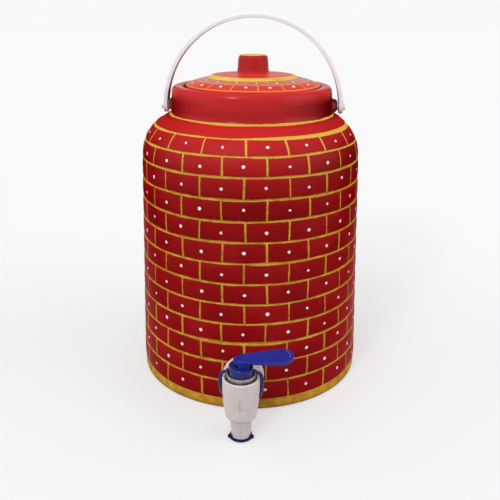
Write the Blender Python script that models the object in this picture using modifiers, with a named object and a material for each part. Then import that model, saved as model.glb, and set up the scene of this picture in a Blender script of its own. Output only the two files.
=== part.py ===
# Clay water pot with a lid, a bail handle and a lever tap. Metres, +Z up.
# The pot stands on z = 0 with its axis on Z, and its tap points along -Y.
import math

import bmesh
import bpy
from mathutils import Matrix, Vector

# Gaps and fineness
touch_gap = 0.0003
turn_segments = 32
small_segments = 24
bolt_segments = 16
pin_segments = 12
arch_steps = 22
fillet_steps = 2
small_fillet = 0.0013
sharp_angle = math.radians(30)
edge_angle = math.radians(40)
axis_size = 0.02
through = 0.0200

# Pot: a straight wall of brick courses under a rounded shoulder of two more
base_radius = 0.1157
wall_taper = 0.0077
base_band_height = 0.0117
course_height = 0.0197
wall_courses = 11
shoulder_low_height = 0.0173
shoulder_low_drop = 0.0033
shoulder_high_height = 0.0138
shoulder_high_drop = 0.0098
shoulder_cap_height = 0.0093
shoulder_cap_width = 0.0145
base_edge_radius = 0.0030
bricks_per_course = 17
faces_per_brick = 2
joint_width = 0.0022
brick_proud = 0.0007
clay_wall = 0.0085
shoulder_wall = 0.0068
floor_thickness = 0.0110
floor_round = 0.0100

# Neck, thrown a little to the right of the wall's axis, with the gallery that carries the lid
neck_shift = 0.0012
neck_foot_step = 0.0016
neck_wall = 0.0060
neck_height = 0.0272
rim_width = 0.0119
rim_slope = 0.0013
rim_round = 0.0045
gallery_depth = 0.0070
gallery_thickness = 0.0045
gallery_ledge = 0.0089

# Lid, which sits a little to the right in the neck
lid_shift = 0.0022
lid_play = 0.0006
lid_edge_height = 0.0068
lid_outer_course_width = 0.0110
lid_outer_course_rise = 0.0046
lid_inner_course_width = 0.0109
lid_inner_course_rise = 0.0022
crown_step = 0.0024
crown_edge_width = 0.0023
crown_rise = 0.0016
lid_edge_round = 0.0016
lid_foot_round = 0.0008
lid_wall = 0.0070
lid_seat_width = 0.0103
lid_hollow_slope = 0.0040
knob_height = 0.0172
knob_foot_radius = 0.0163
knob_foot_height = 0.0020
knob_waist_radius = 0.0152
knob_waist_drop = 0.0094
knob_waist_round = 0.0060
knob_top_radius = 0.0136
knob_top_round = 0.0018
knob_dimple_radius = 0.0092
knob_dimple_width = 0.0037
knob_dimple_depth = 0.0022

# Bail handle on two bolts through lugs on the neck, with some side play between them
handle_stand = 0.0052
handle_shift = 0.0023
handle_thickness = 0.0040
handle_width = 0.0160
handle_edge = 0.0008
handle_end_round = 0.0072
handle_end_steps = 5
handle_pivot_rise = 0.0072
handle_arch_drop = 0.0026
handle_tail = 0.0075
inlay_width = 0.0120
inlay_thickness = 0.0013
inlay_tail = 0.0044
lug_foot_radius = 0.0082
lug_end_radius = 0.0062
lug_round = 0.0015
washer_radius = 0.0042
washer_thickness = 0.0010
bolt_radius = 0.0027
bolt_head_radius = 0.0045
bolt_head_height = 0.0027
bolt_head_round = 0.0015
nut_across_corners = 0.0110
nut_thickness = 0.0042
bolt_tail = 0.0008

# Tap body: a stepped barrel over a nozzle, with a flanged inlet
tap_stand = 0.0413
inlet_height = 0.0410
nozzle_tip_height = 0.0035
nozzle_length = 0.0194
nozzle_top_radius = 0.0101
nozzle_tip_radius = 0.0088
nozzle_tip_round = 0.0012
nozzle_bore_radius = 0.0064
barrel_radius = 0.0166
barrel_foot_radius = 0.0141
barrel_height = 0.0395
barrel_ledges = ((0.0241, 0.0160), (0.0143, 0.0154), (0.0094, 0.0149), (0.0051, 0.0144))
ledge_slope = 0.0003
barrel_rim_round = 0.0022
barrel_foot_round = 0.0026
chamber_radius = 0.0110
chamber_floor = 0.0031
seat_lip_width = 0.0018
seat_lip_height = 0.0010
flange_radius = 0.0193
flange_thickness = 0.0040
flange_round = 0.0012
flange_root_round = 0.0020
inlet_neck_radius = 0.0095
inlet_bore_radius = 0.0062
shank_radius = 0.0095
shank_tail = 0.0045
gasket_radius = 0.0170
gasket_thickness = 0.0020
inner_gasket_radius = 0.0150
back_nut_radius = 0.0150
back_nut_thickness = 0.0070

# Bonnet: a cap held by a fluted ring nut in the barrel's mouth
nut_seat_depth = 0.0054
ring_nut_height = 0.0057
ring_nut_radius = 0.0132
ring_nut_flutes = 16
flute_radius = 0.0021
flute_depth = 0.0007
flute_faces = 8
ring_nut_slope_width = 0.0012
ring_nut_slope_height = 0.0020
ring_nut_round = 0.0006
mouth_gap = 0.0009
cap_radius = 0.0109
cap_flange_height = 0.0027
cap_height = 0.0182
cap_round = 0.0020

# Valve: stem, cross pin, spring and rubber seal
stem_radius = 0.0022
stem_stud_radius = 0.0014
stem_button_radius = 0.0030
stem_button_height = 0.0021
stem_button_taper = 0.0009
stem_top_round = 0.0005
seal_radius = 0.0086
seal_thickness = 0.0040
seal_holder_radius = 0.0082
seal_holder_height = 0.0020
stem_top_height = 0.0750
stem_pin_radius = 0.0010
spring_radius = 0.0056
spring_wire_radius = 0.0006
spring_turns = 5
spring_points_per_turn = 12

# Lever: a spoon-shaped blade over a slotted root, turned a little towards the pot
lever_turn = math.radians(8)
lever_pivot_offset = 0.0052
lever_pivot_height = 0.0730
lever_pin_radius = 0.0009
lever_root_left = 0.0036
lever_root_right = 0.0020
lever_root_half_width = 0.0052
lever_root_depth = 0.0045
lever_slot_half_width = 0.0027
lever_swing_room = 0.0010
blade_height = 0.0786
blade_thickness = 0.0030
blade_root_radius = 0.0085
blade_root_offset = 0.0011
blade_tip_radius = 0.0132
blade_tip_offset = 0.0336
blade_tip_power = 2.6
blade_edge = 0.0008
lever_neck_radius = 0.0088
lever_neck_right = 0.0034

# Yoke: two arms hung on the cap, round the barrel and down to a push pad and ring
yoke_pivot_height = 0.0683
yoke_stud_radius = 0.0011
yoke_stud_length = 0.0016
yoke_eye_radius = 0.0020
yoke_eye_thickness = 0.0016
yoke_arm_radius = 0.0012
pad_width = 0.0150
pad_thickness = 0.0018
pad_height = 0.0187
pad_gap = 0.0007
push_ring_bore = 0.0089
push_ring_width = 0.0018
push_ring_thickness = 0.0018
push_ring_lift = 0.0013
push_ear_radius = 0.0022
push_ear_step = 0.0001
push_ear_turn = math.radians(72)
# Bends of an arm: beyond the eye, then in from its widest, from the tap's axis, below the barrel's top
arm_shoulder = (0.0022, 0.0001, 0.0009)
arm_bends = (
    (0.0010, 0.0006, -0.0022),
    (0.0000, 0.0012, 0.0034),
    (0.0000, 0.0028, 0.0105),
    (0.0006, 0.0060, 0.0180),
    (0.0022, 0.0098, 0.0255),
    (0.0056, 0.0132, 0.0330),
    (0.0091, 0.0142, 0.0399),
)
arm_end_drop = 0.0075

# Sizes that follow from those above
pot_segments = bricks_per_course * faces_per_brick
wall_top_radius = base_radius - wall_taper
wall_top_height = base_band_height + wall_courses * course_height
shoulder_low_radius = wall_top_radius - shoulder_low_drop
shoulder_low_top = wall_top_height + shoulder_low_height
shoulder_high_radius = shoulder_low_radius - shoulder_high_drop
shoulder_high_top = shoulder_low_top + shoulder_high_height
neck_foot_height = shoulder_high_top + shoulder_cap_height
neck_foot_radius = shoulder_high_radius - shoulder_cap_width
neck_radius = neck_foot_radius - neck_foot_step
neck_bore_radius = neck_radius - neck_wall
rim_height = neck_foot_height + neck_height
gallery_height = rim_height - gallery_depth
seat_radius = neck_radius - rim_width
gallery_bore_radius = seat_radius - gallery_ledge
lid_radius = seat_radius - abs(lid_shift - neck_shift) - lid_play
lid_seat_height = gallery_height + touch_gap
handle_inner_radius = neck_radius + handle_stand
handle_radius = handle_inner_radius + handle_thickness
handle_pivot_height = neck_foot_height + handle_pivot_rise
handle_arch_height = handle_pivot_height - handle_arch_drop
tap_reach = base_radius + tap_stand
barrel_foot_height = nozzle_tip_height + nozzle_length
barrel_top_height = barrel_foot_height + barrel_height
chamber_floor_height = barrel_foot_height + chamber_floor
cap_seat_height = barrel_top_height - nut_seat_depth
nut_pocket_radius = ring_nut_radius + mouth_gap
cap_base_height = cap_seat_height + touch_gap
cap_top_height = cap_base_height + cap_height
ring_nut_base = cap_base_height + cap_flange_height + touch_gap
shank_bore_radius = shank_radius + touch_gap
seal_base_height = chamber_floor_height + seat_lip_height + touch_gap
holder_base_height = seal_base_height + seal_thickness + touch_gap
tap_centre = Vector((0, -tap_reach, 0))
lever_frame = Matrix.Translation(tap_centre) @ Matrix.Rotation(lever_turn, 4, 'Z')
along_x = Matrix.Rotation(math.pi / 2, 4, 'Y')
along_y = Matrix.Rotation(math.pi / 2, 4, 'X')
at_pivot = Matrix.Translation((neck_shift, 0, handle_pivot_height))
pivot_sides = {
    'right': (1, at_pivot @ along_x),
    'left': (-1, at_pivot @ Matrix.Rotation(math.pi, 4, 'Z') @ along_x),
}
bolt_line = at_pivot @ along_x

for leftover in list(bpy.data.objects):
    bpy.data.objects.remove(leftover)

parts = bpy.data.collections.new('clay_water_pot')
cutters = bpy.data.collections.new('cutters')
bpy.context.scene.collection.children.link(parts)
bpy.context.scene.collection.children.link(cutters)


def make_material(name, colour, roughness, metallic=0.0):
    material = bpy.data.materials.new(name)
    material.use_nodes = True
    shader = material.node_tree.nodes['Principled BSDF']
    shader.inputs['Base Color'].default_value = (*colour, 1)
    shader.inputs['Roughness'].default_value = roughness
    shader.inputs['Metallic'].default_value = metallic
    return material


red_clay = make_material('red_painted_clay', (0.42, 0.012, 0.016), 0.45)
white_plastic = make_material('white_plastic', (0.78, 0.72, 0.82), 0.35)
tap_plastic = make_material('tap_plastic', (0.62, 0.54, 0.57), 0.4)
blue_plastic = make_material('blue_plastic', (0.022, 0.03, 0.28), 0.38)
brown_strip = make_material('brown_strip', (0.09, 0.03, 0.012), 0.6)
steel = make_material('steel', (0.55, 0.54, 0.52), 0.3, 1.0)
nut_metal = make_material('nut_metal', (0.46, 0.42, 0.38), 0.35, 0.8)
rubber = make_material('rubber', (0.02, 0.02, 0.02), 0.8)


# Outlines and solids


def filleted(points, closed=False):
    # Points are (x, y, corner radius); a corner's arc is limited to half of its sides.
    outline = []
    for index, (x, y, radius) in enumerate(points):
        corner = Vector((x, y))
        at_end = not closed and index in (0, len(points) - 1)
        if radius == 0 or at_end:
            outline.append(corner)
            continue
        before = Vector(points[index - 1][:2]) - corner
        after = Vector(points[(index + 1) % len(points)][:2]) - corner
        half = before.angle(after) / 2
        reach = min(radius / math.tan(half), before.length / 2, after.length / 2)
        middle = (before.normalized() + after.normalized()).normalized()
        centre = corner + middle * reach / math.cos(half)
        spoke = corner + before.normalized() * reach - centre
        far_spoke = corner + after.normalized() * reach - centre
        turn = math.atan2(far_spoke.y, far_spoke.x) - math.atan2(spoke.y, spoke.x)
        turn = (turn + math.pi) % (2 * math.pi) - math.pi
        steps = fillet_steps if radius > small_fillet else 1
        for step in range(steps + 1):
            part_turn = turn * step / steps
            outline.append(centre + Matrix.Rotation(part_turn, 2) @ spoke)
    return outline


def arc(centre, radius, start, end, steps):
    turns = [start + (end - start) * step / steps for step in range(steps + 1)]
    return [Vector((centre[0] + radius * math.cos(t), centre[1] + radius * math.sin(t))) for t in turns]


def baked(thing):
    # The evaluated mesh of an object, with seams and caps welded; the object is removed.
    bpy.context.view_layer.update()
    depsgraph = bpy.context.evaluated_depsgraph_get()
    mesh = bpy.data.meshes.new_from_object(thing.evaluated_get(depsgraph))
    mesh.transform(thing.matrix_world)
    bm = bmesh.new()
    bm.from_mesh(mesh)
    bmesh.ops.remove_doubles(bm, verts=bm.verts, dist=0.00001)
    bm.to_mesh(mesh)
    bm.free()
    bpy.data.objects.remove(thing)
    return mesh


def turned_mesh(profile, segments=turn_segments, closed=False):
    # A profile of (radius, height) points, down its outer side, screwed round Z.
    mesh = bpy.data.meshes.new('profile')
    points = [(max(x, 0), 0, y) for x, y in profile]
    edges = [(i, i + 1) for i in range(len(points) - 1)]
    if closed:
        edges.append((len(points) - 1, 0))
    mesh.from_pydata(points, edges, [])
    thing = bpy.data.objects.new('profile', mesh)
    bpy.context.scene.collection.objects.link(thing)
    screw = thing.modifiers.new('Screw', 'SCREW')
    screw.steps = segments
    screw.render_steps = segments
    screw.use_merge_vertices = True
    screw.merge_threshold = 0.00001
    return baked(thing)


def cylinder_mesh(radius, start, end, segments=turn_segments):
    return turned_mesh([(0, end), (radius, end), (radius, start), (0, start)], segments)


def tube_mesh(outer, bore, start, end, segments=turn_segments):
    return turned_mesh([(outer, end), (outer, start), (bore, start), (bore, end)], segments, True)


def box_mesh(low, high):
    low, high = Vector(low), Vector(high)
    mesh = bpy.data.meshes.new('box')
    bm = bmesh.new()
    place = Matrix.Translation((low + high) / 2) @ Matrix.Diagonal((*(high - low), 1))
    bmesh.ops.create_cube(bm, size=1, matrix=place)
    bm.to_mesh(mesh)
    bm.free()
    return mesh


def plate_mesh(outline, thickness):
    # A flat outline in XY, extruded to both sides of its plane.
    curve = bpy.data.curves.new('plate', 'CURVE')
    curve.dimensions = '2D'
    curve.fill_mode = 'BOTH'
    curve.extrude = thickness / 2
    spline = curve.splines.new('POLY')
    spline.points.add(len(outline) - 1)
    for point, (x, y) in zip(spline.points, outline):
        point.co = (x, y, 0, 1)
    spline.use_cyclic_u = True
    thing = bpy.data.objects.new('plate', curve)
    bpy.context.scene.collection.objects.link(thing)
    return baked(thing)


def rod_mesh(points, radius, resolution=2):
    curve = bpy.data.curves.new('rod', 'CURVE')
    curve.dimensions = '3D'
    curve.bevel_depth = radius
    curve.bevel_resolution = resolution
    curve.use_fill_caps = True
    spline = curve.splines.new('POLY')
    spline.points.add(len(points) - 1)
    for point, place in zip(spline.points, points):
        point.co = (*place, 1)
    thing = bpy.data.objects.new('rod', curve)
    bpy.context.scene.collection.objects.link(thing)
    return baked(thing)


def add_axis(name, place):
    # An empty on a joint's axis, which carries the pieces that move with it.
    axis = bpy.data.objects.new(name, None)
    axis.empty_display_size = axis_size
    axis.matrix_world = place
    parts.objects.link(axis)
    return axis


def add_part(name, mesh, material, place=Matrix(), carrier=None):
    part = bpy.data.objects.new(name, mesh)
    mesh.name = name
    mesh.materials.clear()
    mesh.materials.append(material)
    mesh.shade_smooth()
    mesh.set_sharp_from_angle(angle=sharp_angle)
    parts.objects.link(part)
    if carrier:
        part.parent = carrier
        part.matrix_parent_inverse = carrier.matrix_world.inverted()
    part.matrix_world = place
    return part


def use_tool(part, mesh, operation, place=Matrix()):
    tool = bpy.data.objects.new(f'{part.name}_{operation.lower()}', mesh)
    tool.matrix_world = place
    tool.hide_render = True
    tool.display_type = 'WIRE'
    cutters.objects.link(tool)
    boolean = part.modifiers.new('Boolean', 'BOOLEAN')
    boolean.operation = operation
    boolean.solver = 'EXACT'
    boolean.object = tool


def cut(part, mesh, place=Matrix()):
    use_tool(part, mesh, 'DIFFERENCE', place)


def join(part, mesh, place=Matrix()):
    use_tool(part, mesh, 'UNION', place)


def round_edges(part, width):
    bevel = part.modifiers.new('Bevel', 'BEVEL')
    bevel.width = width
    bevel.segments = 1
    bevel.limit_method = 'ANGLE'
    bevel.angle_limit = edge_angle


# Pot


def wall_radius(height):
    share = (height - base_band_height) / (wall_top_height - base_band_height)
    return base_radius + (wall_top_radius - base_radius) * share


def pot_profile():
    inner_top_radius = wall_top_radius - clay_wall
    inside = filleted([
        (0, floor_thickness, 0),
        (base_radius - clay_wall, floor_thickness, floor_round),
        (inner_top_radius, wall_top_height, 0),
        (shoulder_low_radius - shoulder_wall, shoulder_low_top - shoulder_wall / 2, 0),
        (shoulder_high_radius - shoulder_wall / 2, shoulder_high_top - shoulder_wall, 0),
        (neck_bore_radius, neck_foot_height - shoulder_wall, 0),
        (neck_bore_radius, gallery_height - gallery_thickness, 0),
        (gallery_bore_radius, gallery_height - gallery_thickness, 0),
        (gallery_bore_radius, gallery_height, 0),
        (seat_radius, gallery_height, 0),
        (seat_radius, rim_height - rim_slope, rim_slope / 2),
        (neck_radius, rim_height, rim_round),
        (neck_radius, neck_foot_height + neck_height / 2, 0),
    ])
    outside = [(neck_foot_radius, neck_foot_height)]
    outside.append((shoulder_high_radius, shoulder_high_top))
    outside.append((shoulder_low_radius, shoulder_low_top))
    for course in range(wall_courses, -1, -1):
        height = base_band_height + course * course_height
        outside.append((wall_radius(height), height))
    foot = filleted([
        (base_radius, base_band_height, 0),
        (base_radius, 0, base_edge_radius),
        (0, 0, 0),
    ])
    return [tuple(point) for point in inside] + outside + [tuple(point) for point in foot[1:]]


def shift_neck(mesh):
    for vert in mesh.vertices:
        if vert.co.z > shoulder_high_top + touch_gap:
            vert.co.x += neck_shift


def strap_inner(side):
    # The strap's inner face on one side of the neck, out from the neck's axis.
    return handle_inner_radius + side * (handle_shift - neck_shift)


def lug_end(side):
    return strap_inner(side) - 2 * touch_gap - washer_thickness


def course_bounds():
    # Heights at the foot and top of each brick course, from the lowest up.
    heights = [base_band_height + course * course_height for course in range(wall_courses + 1)]
    heights += [shoulder_low_top, shoulder_high_top]
    return list(zip(heights, heights[1:]))


def raise_bricks(mesh):
    # Running bond: each brick's faces are inset, which leaves a groove for its joints.
    # In the highest course a joint stands over the tap, and every second course is shifted.
    column_turn = 2 * math.pi / pot_segments
    tap_column = round(math.radians(270) / column_turn)
    bounds = course_bounds()
    bm = bmesh.new()
    bm.from_mesh(mesh)
    bricks = {}
    for face in bm.faces:
        middle = face.calc_center_median()
        faces_out = face.normal.dot((middle.x, middle.y, 0)) > 0
        if math.hypot(middle.x, middle.y) < neck_foot_radius or not faces_out:
            continue
        for course, (low, high) in enumerate(bounds):
            if low < middle.z < high:
                shift = faces_per_brick // 2 * ((len(bounds) - 1 - course) % 2)
                column = math.floor(math.atan2(middle.y, middle.x) / column_turn) - tap_column - shift
                brick = column % pot_segments // faces_per_brick
                bricks.setdefault((course, brick), []).append(face)
    for faces in bricks.values():
        bmesh.ops.inset_region(bm, faces=faces, thickness=joint_width / 2, depth=brick_proud,
                               use_boundary=True, use_even_offset=True)
    bm.to_mesh(mesh)
    bm.free()


def tap_seats():
    # The wall is cut flat outside and inside the tap hole, so that gaskets seat on it.
    outer_edge = gasket_radius + touch_gap
    wall_here = wall_radius(inlet_height)
    outer = math.sqrt(wall_here ** 2 - outer_edge ** 2)
    inner = wall_here - clay_wall
    return outer, inner


def make_pot():
    mesh = turned_mesh(pot_profile(), pot_segments)
    raise_bricks(mesh)
    shift_neck(mesh)
    pot = add_part('pot_body', mesh, red_clay)
    lug_root = neck_radius - neck_wall / 2
    for side, place in pivot_sides.values():
        lug = turned_mesh(filleted([
            (0, lug_end(side), 0),
            (lug_end_radius, lug_end(side), lug_round),
            (lug_foot_radius, lug_root, 0),
            (0, lug_root, 0),
        ]), bolt_segments)
        join(pot, lug, place)
    cut(pot, cylinder_mesh(bolt_radius + touch_gap, -handle_radius, handle_radius, bolt_segments), bolt_line)
    outer_seat, inner_seat = tap_seats()
    at_inlet = Matrix.Translation((0, 0, inlet_height)) @ along_y
    cut(pot, cylinder_mesh(gasket_radius + touch_gap, outer_seat, outer_seat + clay_wall * 2), at_inlet)
    cut(pot, cylinder_mesh(inner_gasket_radius + touch_gap, inner_seat - clay_wall, inner_seat), at_inlet)
    cut(pot, cylinder_mesh(shank_bore_radius, inner_seat - clay_wall, outer_seat + clay_wall), at_inlet)


# Lid


def make_lid():
    course_edge = lid_radius - lid_outer_course_width
    crown_foot = course_edge - lid_inner_course_width
    crown_top = crown_foot - crown_edge_width
    course_height_at_edge = lid_edge_height + lid_outer_course_rise
    crown_foot_height = course_height_at_edge + lid_inner_course_rise
    crown_height = crown_foot_height + crown_step
    knob_base = crown_height + crown_rise
    knob_top = knob_base + knob_height
    hollow_radius = lid_radius - lid_seat_width
    hollow_height = crown_foot_height - lid_wall
    profile = filleted([
        (0, knob_top - knob_dimple_depth, 0),
        (knob_dimple_radius - knob_dimple_width, knob_top - knob_dimple_depth, 0),
        (knob_dimple_radius, knob_top, knob_top_round / 2),
        (knob_top_radius, knob_top, knob_top_round),
        (knob_waist_radius, knob_top - knob_waist_drop, knob_waist_round),
        (knob_waist_radius, knob_base + knob_foot_height, knob_foot_height / 2),
        (knob_foot_radius, knob_base, 0),
        (crown_top, crown_height, crown_step / 2),
        (crown_foot, crown_foot_height, 0),
        (course_edge, course_height_at_edge, 0),
        (lid_radius, lid_edge_height, lid_edge_round),
        (lid_radius, 0, lid_foot_round),
        (hollow_radius, 0, 0),
        (hollow_radius - lid_hollow_slope, hollow_height / 2, 0),
        (crown_foot, hollow_height, 0),
        (0, knob_base - lid_wall, 0),
    ])
    place = Matrix.Translation((lid_shift, 0, lid_seat_height))
    add_part('lid', turned_mesh(profile, pot_segments), red_clay, place, add_axis('lid_axis', place))


# Handle


def arch_outline(outer, inner, tail):
    # Half rings from outer to inner radius, with straight tails below the arch's centre.
    across = arc((0, 0), outer, 0, math.pi, arch_steps)
    back = arc((0, 0), inner, math.pi, 0, arch_steps)
    outline = [Vector((outer, -tail))] + across + [Vector((-outer, -tail))]
    return outline + [Vector((-inner, -tail))] + back + [Vector((inner, -tail))]


def round_ends(mesh, tail):
    # The strap's two ends are rounded across its width.
    bm = bmesh.new()
    bm.from_mesh(mesh)
    corners = []
    for edge in bm.edges:
        ends = [vert.co for vert in edge.verts]
        low = all(abs(end.y + tail) < touch_gap for end in ends)
        if low and abs(ends[0].z - ends[1].z) < touch_gap:
            corners.append(edge)
    bmesh.ops.bevel(bm, geom=corners, offset=handle_end_round, segments=handle_end_steps, profile=0.5,
                    affect='EDGES')
    bm.to_mesh(mesh)
    bm.free()


def make_handle():
    # The inlay lies in a channel along the strap's inner face, and forks round a boss at each bolt.
    upright = Matrix.Translation((handle_shift, 0, handle_arch_height)) @ along_y
    strap_tail = handle_tail - handle_arch_drop
    strip_tail = inlay_tail - handle_arch_drop
    strap = plate_mesh(arch_outline(handle_radius, handle_inner_radius, strap_tail), handle_width)
    round_ends(strap, strap_tail)
    axis = add_axis('handle_axis', at_pivot)
    handle = add_part('handle', strap, white_plastic, upright, axis)
    round_edges(handle, handle_edge)
    inlay_outer = handle_inner_radius + inlay_thickness
    channel_outline = arch_outline(inlay_outer + touch_gap, handle_inner_radius - inlay_thickness,
                                   strip_tail + touch_gap)
    cut(handle, plate_mesh(channel_outline, inlay_width + 2 * touch_gap), upright)
    boss_radius = washer_radius + 2 * touch_gap
    for side, place in pivot_sides.values():
        boss_start, boss_end = strap_inner(side), strap_inner(side) + handle_thickness / 2
        join(handle, cylinder_mesh(boss_radius, boss_start, boss_end, bolt_segments), place)
        seat = cylinder_mesh(washer_radius + touch_gap, lug_end(side), boss_start, bolt_segments)
        cut(handle, seat, place)
    reach = handle_radius + through
    cut(handle, cylinder_mesh(bolt_radius + touch_gap, -reach, reach, bolt_segments), bolt_line)
    inlay_mesh = plate_mesh(arch_outline(inlay_outer, handle_inner_radius, strip_tail), inlay_width)
    inlay = add_part('handle_inlay', inlay_mesh, brown_strip, upright, axis)
    cut(inlay, cylinder_mesh(boss_radius + touch_gap, -reach, reach, bolt_segments), bolt_line)


def hex_mesh(radius, start, end):
    # A six-sided bar along Z.
    mesh = bpy.data.meshes.new('nut')
    bm = bmesh.new()
    bmesh.ops.create_cone(bm, cap_ends=True, segments=6, radius1=radius, radius2=radius, depth=end - start,
                          matrix=Matrix.Translation((0, 0, (start + end) / 2)))
    bm.to_mesh(mesh)
    bm.free()
    return mesh


def make_pivot(name, side, place):
    # One side's bolt, washer and nut, along +Z of the given place, outwards. Both bolts are as long
    # as the side with the wider gap needs.
    head_base = strap_inner(side) + handle_thickness + touch_gap
    nut_face = neck_bore_radius - 2 * touch_gap
    bolt_length = strap_inner(1) + handle_thickness + touch_gap - nut_face + nut_thickness + bolt_tail
    tail_end = head_base - bolt_length
    bolt = turned_mesh(filleted([
        (0, head_base + bolt_head_height, 0),
        (bolt_head_radius, head_base + bolt_head_height, bolt_head_round),
        (bolt_head_radius, head_base, touch_gap),
        (bolt_radius, head_base, 0),
        (bolt_radius, tail_end, 0),
        (0, tail_end, 0),
    ]), bolt_segments)
    add_part(f'pivot_bolt_{name}', bolt, white_plastic, place)
    washer_start = lug_end(side) + touch_gap
    washer = tube_mesh(washer_radius, bolt_radius + touch_gap, washer_start, washer_start + washer_thickness,
                       bolt_segments)
    add_part(f'pivot_washer_{name}', washer, white_plastic, place)
    nut_mesh = hex_mesh(nut_across_corners / 2, nut_face - nut_thickness, nut_face)
    nut = add_part(f'pivot_nut_{name}', nut_mesh, white_plastic, place)
    cut(nut, cylinder_mesh(bolt_radius + touch_gap, tail_end, neck_radius, bolt_segments), place)


# Tap


def barrel_profile():
    # Each ledge is (height above the barrel's foot, radius below it).
    points = [
        (0, barrel_top_height, 0),
        (barrel_radius, barrel_top_height, barrel_rim_round),
    ]
    above = barrel_radius
    for height, radius in barrel_ledges:
        points.append((above, barrel_foot_height + height + ledge_slope, 0))
        points.append((radius, barrel_foot_height + height, 0))
        above = radius
    points += [
        (barrel_foot_radius, barrel_foot_height, barrel_foot_round),
        (nozzle_top_radius, barrel_foot_height, 0),
        (nozzle_tip_radius, nozzle_tip_height, nozzle_tip_round),
        (0, nozzle_tip_height, 0),
    ]
    return filleted(points)


def chamber_profile():
    # The space inside the barrel: nut pocket, chamber, raised valve seat and nozzle bore.
    lip_outer = nozzle_bore_radius + seat_lip_width
    lip_top = chamber_floor_height + seat_lip_height
    above, below = barrel_top_height + touch_gap, nozzle_tip_height - touch_gap
    return [
        (0, above),
        (nut_pocket_radius, above),
        (nut_pocket_radius, cap_seat_height),
        (chamber_radius, cap_seat_height),
        (chamber_radius, chamber_floor_height),
        (lip_outer, chamber_floor_height),
        (lip_outer, lip_top),
        (nozzle_bore_radius, lip_top),
        (nozzle_bore_radius, below),
        (0, below),
    ]


def flange_front():
    return tap_seats()[0] + 2 * touch_gap + gasket_thickness + flange_thickness


def back_nut_end():
    return tap_seats()[1] - 3 * touch_gap - gasket_thickness - back_nut_thickness


def make_tap_body():
    place = Matrix.Translation(tap_centre)
    body = add_part('tap_body', turned_mesh(barrel_profile()), tap_plastic, place)
    front = flange_front()
    flange_back = front - flange_thickness
    inlet = turned_mesh(filleted([
        (0, tap_reach, 0),
        (inlet_neck_radius, tap_reach, 0),
        (inlet_neck_radius, front, flange_root_round),
        (flange_radius, front, flange_round),
        (flange_radius, flange_back, 0),
        (shank_radius, flange_back, 0),
        (shank_radius, back_nut_end() - shank_tail, 0),
        (0, back_nut_end() - shank_tail, 0),
    ]), small_segments)
    at_inlet = Matrix.Translation((0, 0, inlet_height)) @ along_y
    join(body, inlet, at_inlet)
    cut(body, turned_mesh(chamber_profile(), small_segments), place)
    cut(body, cylinder_mesh(inlet_bore_radius, back_nut_end() - 2 * shank_tail, tap_reach,
                            small_segments), at_inlet)


def make_inlet_fittings():
    at_inlet = Matrix.Translation((0, 0, inlet_height)) @ along_y
    outer_seat, inner_seat = tap_seats()
    gasket = tube_mesh(gasket_radius, shank_bore_radius, outer_seat + touch_gap,
                       outer_seat + touch_gap + gasket_thickness, small_segments)
    add_part('outer_gasket', gasket, rubber, at_inlet)
    inner_end = inner_seat - touch_gap
    inner_gasket = tube_mesh(inner_gasket_radius, shank_bore_radius, inner_end - gasket_thickness, inner_end,
                             small_segments)
    add_part('inner_gasket', inner_gasket, rubber, at_inlet)
    nut_mesh = hex_mesh(back_nut_radius, back_nut_end(), back_nut_end() + back_nut_thickness)
    nut = add_part('back_nut', nut_mesh, tap_plastic, at_inlet)
    cut(nut, cylinder_mesh(shank_bore_radius, back_nut_end() - shank_tail, tap_reach,
                           small_segments), at_inlet)


def make_ring_nut():
    place = Matrix.Translation(tap_centre)
    top = ring_nut_base + ring_nut_height
    bore = cap_radius + touch_gap
    profile = filleted([
        (bore, top, 0),
        (ring_nut_radius - ring_nut_slope_width, top, ring_nut_round),
        (ring_nut_radius, top - ring_nut_slope_height, ring_nut_round),
        (ring_nut_radius, ring_nut_base, 0),
        (bore, ring_nut_base, 0),
    ], True)
    nut = add_part('ring_nut', turned_mesh(profile, turn_segments, True), nut_metal, place)
    flutes = bpy.data.meshes.new('flutes')
    bm = bmesh.new()
    lane = ring_nut_radius + flute_radius - flute_depth
    for flute in range(ring_nut_flutes):
        turn = Matrix.Rotation(2 * math.pi * flute / ring_nut_flutes, 4, 'Z')
        bmesh.ops.create_cone(bm, cap_ends=True, segments=flute_faces, radius1=flute_radius,
                              radius2=flute_radius, depth=ring_nut_height,
                              matrix=turn @ Matrix.Translation((lane, 0, top)))
    bm.to_mesh(flutes)
    bm.free()
    cut(nut, flutes, place)


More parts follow.
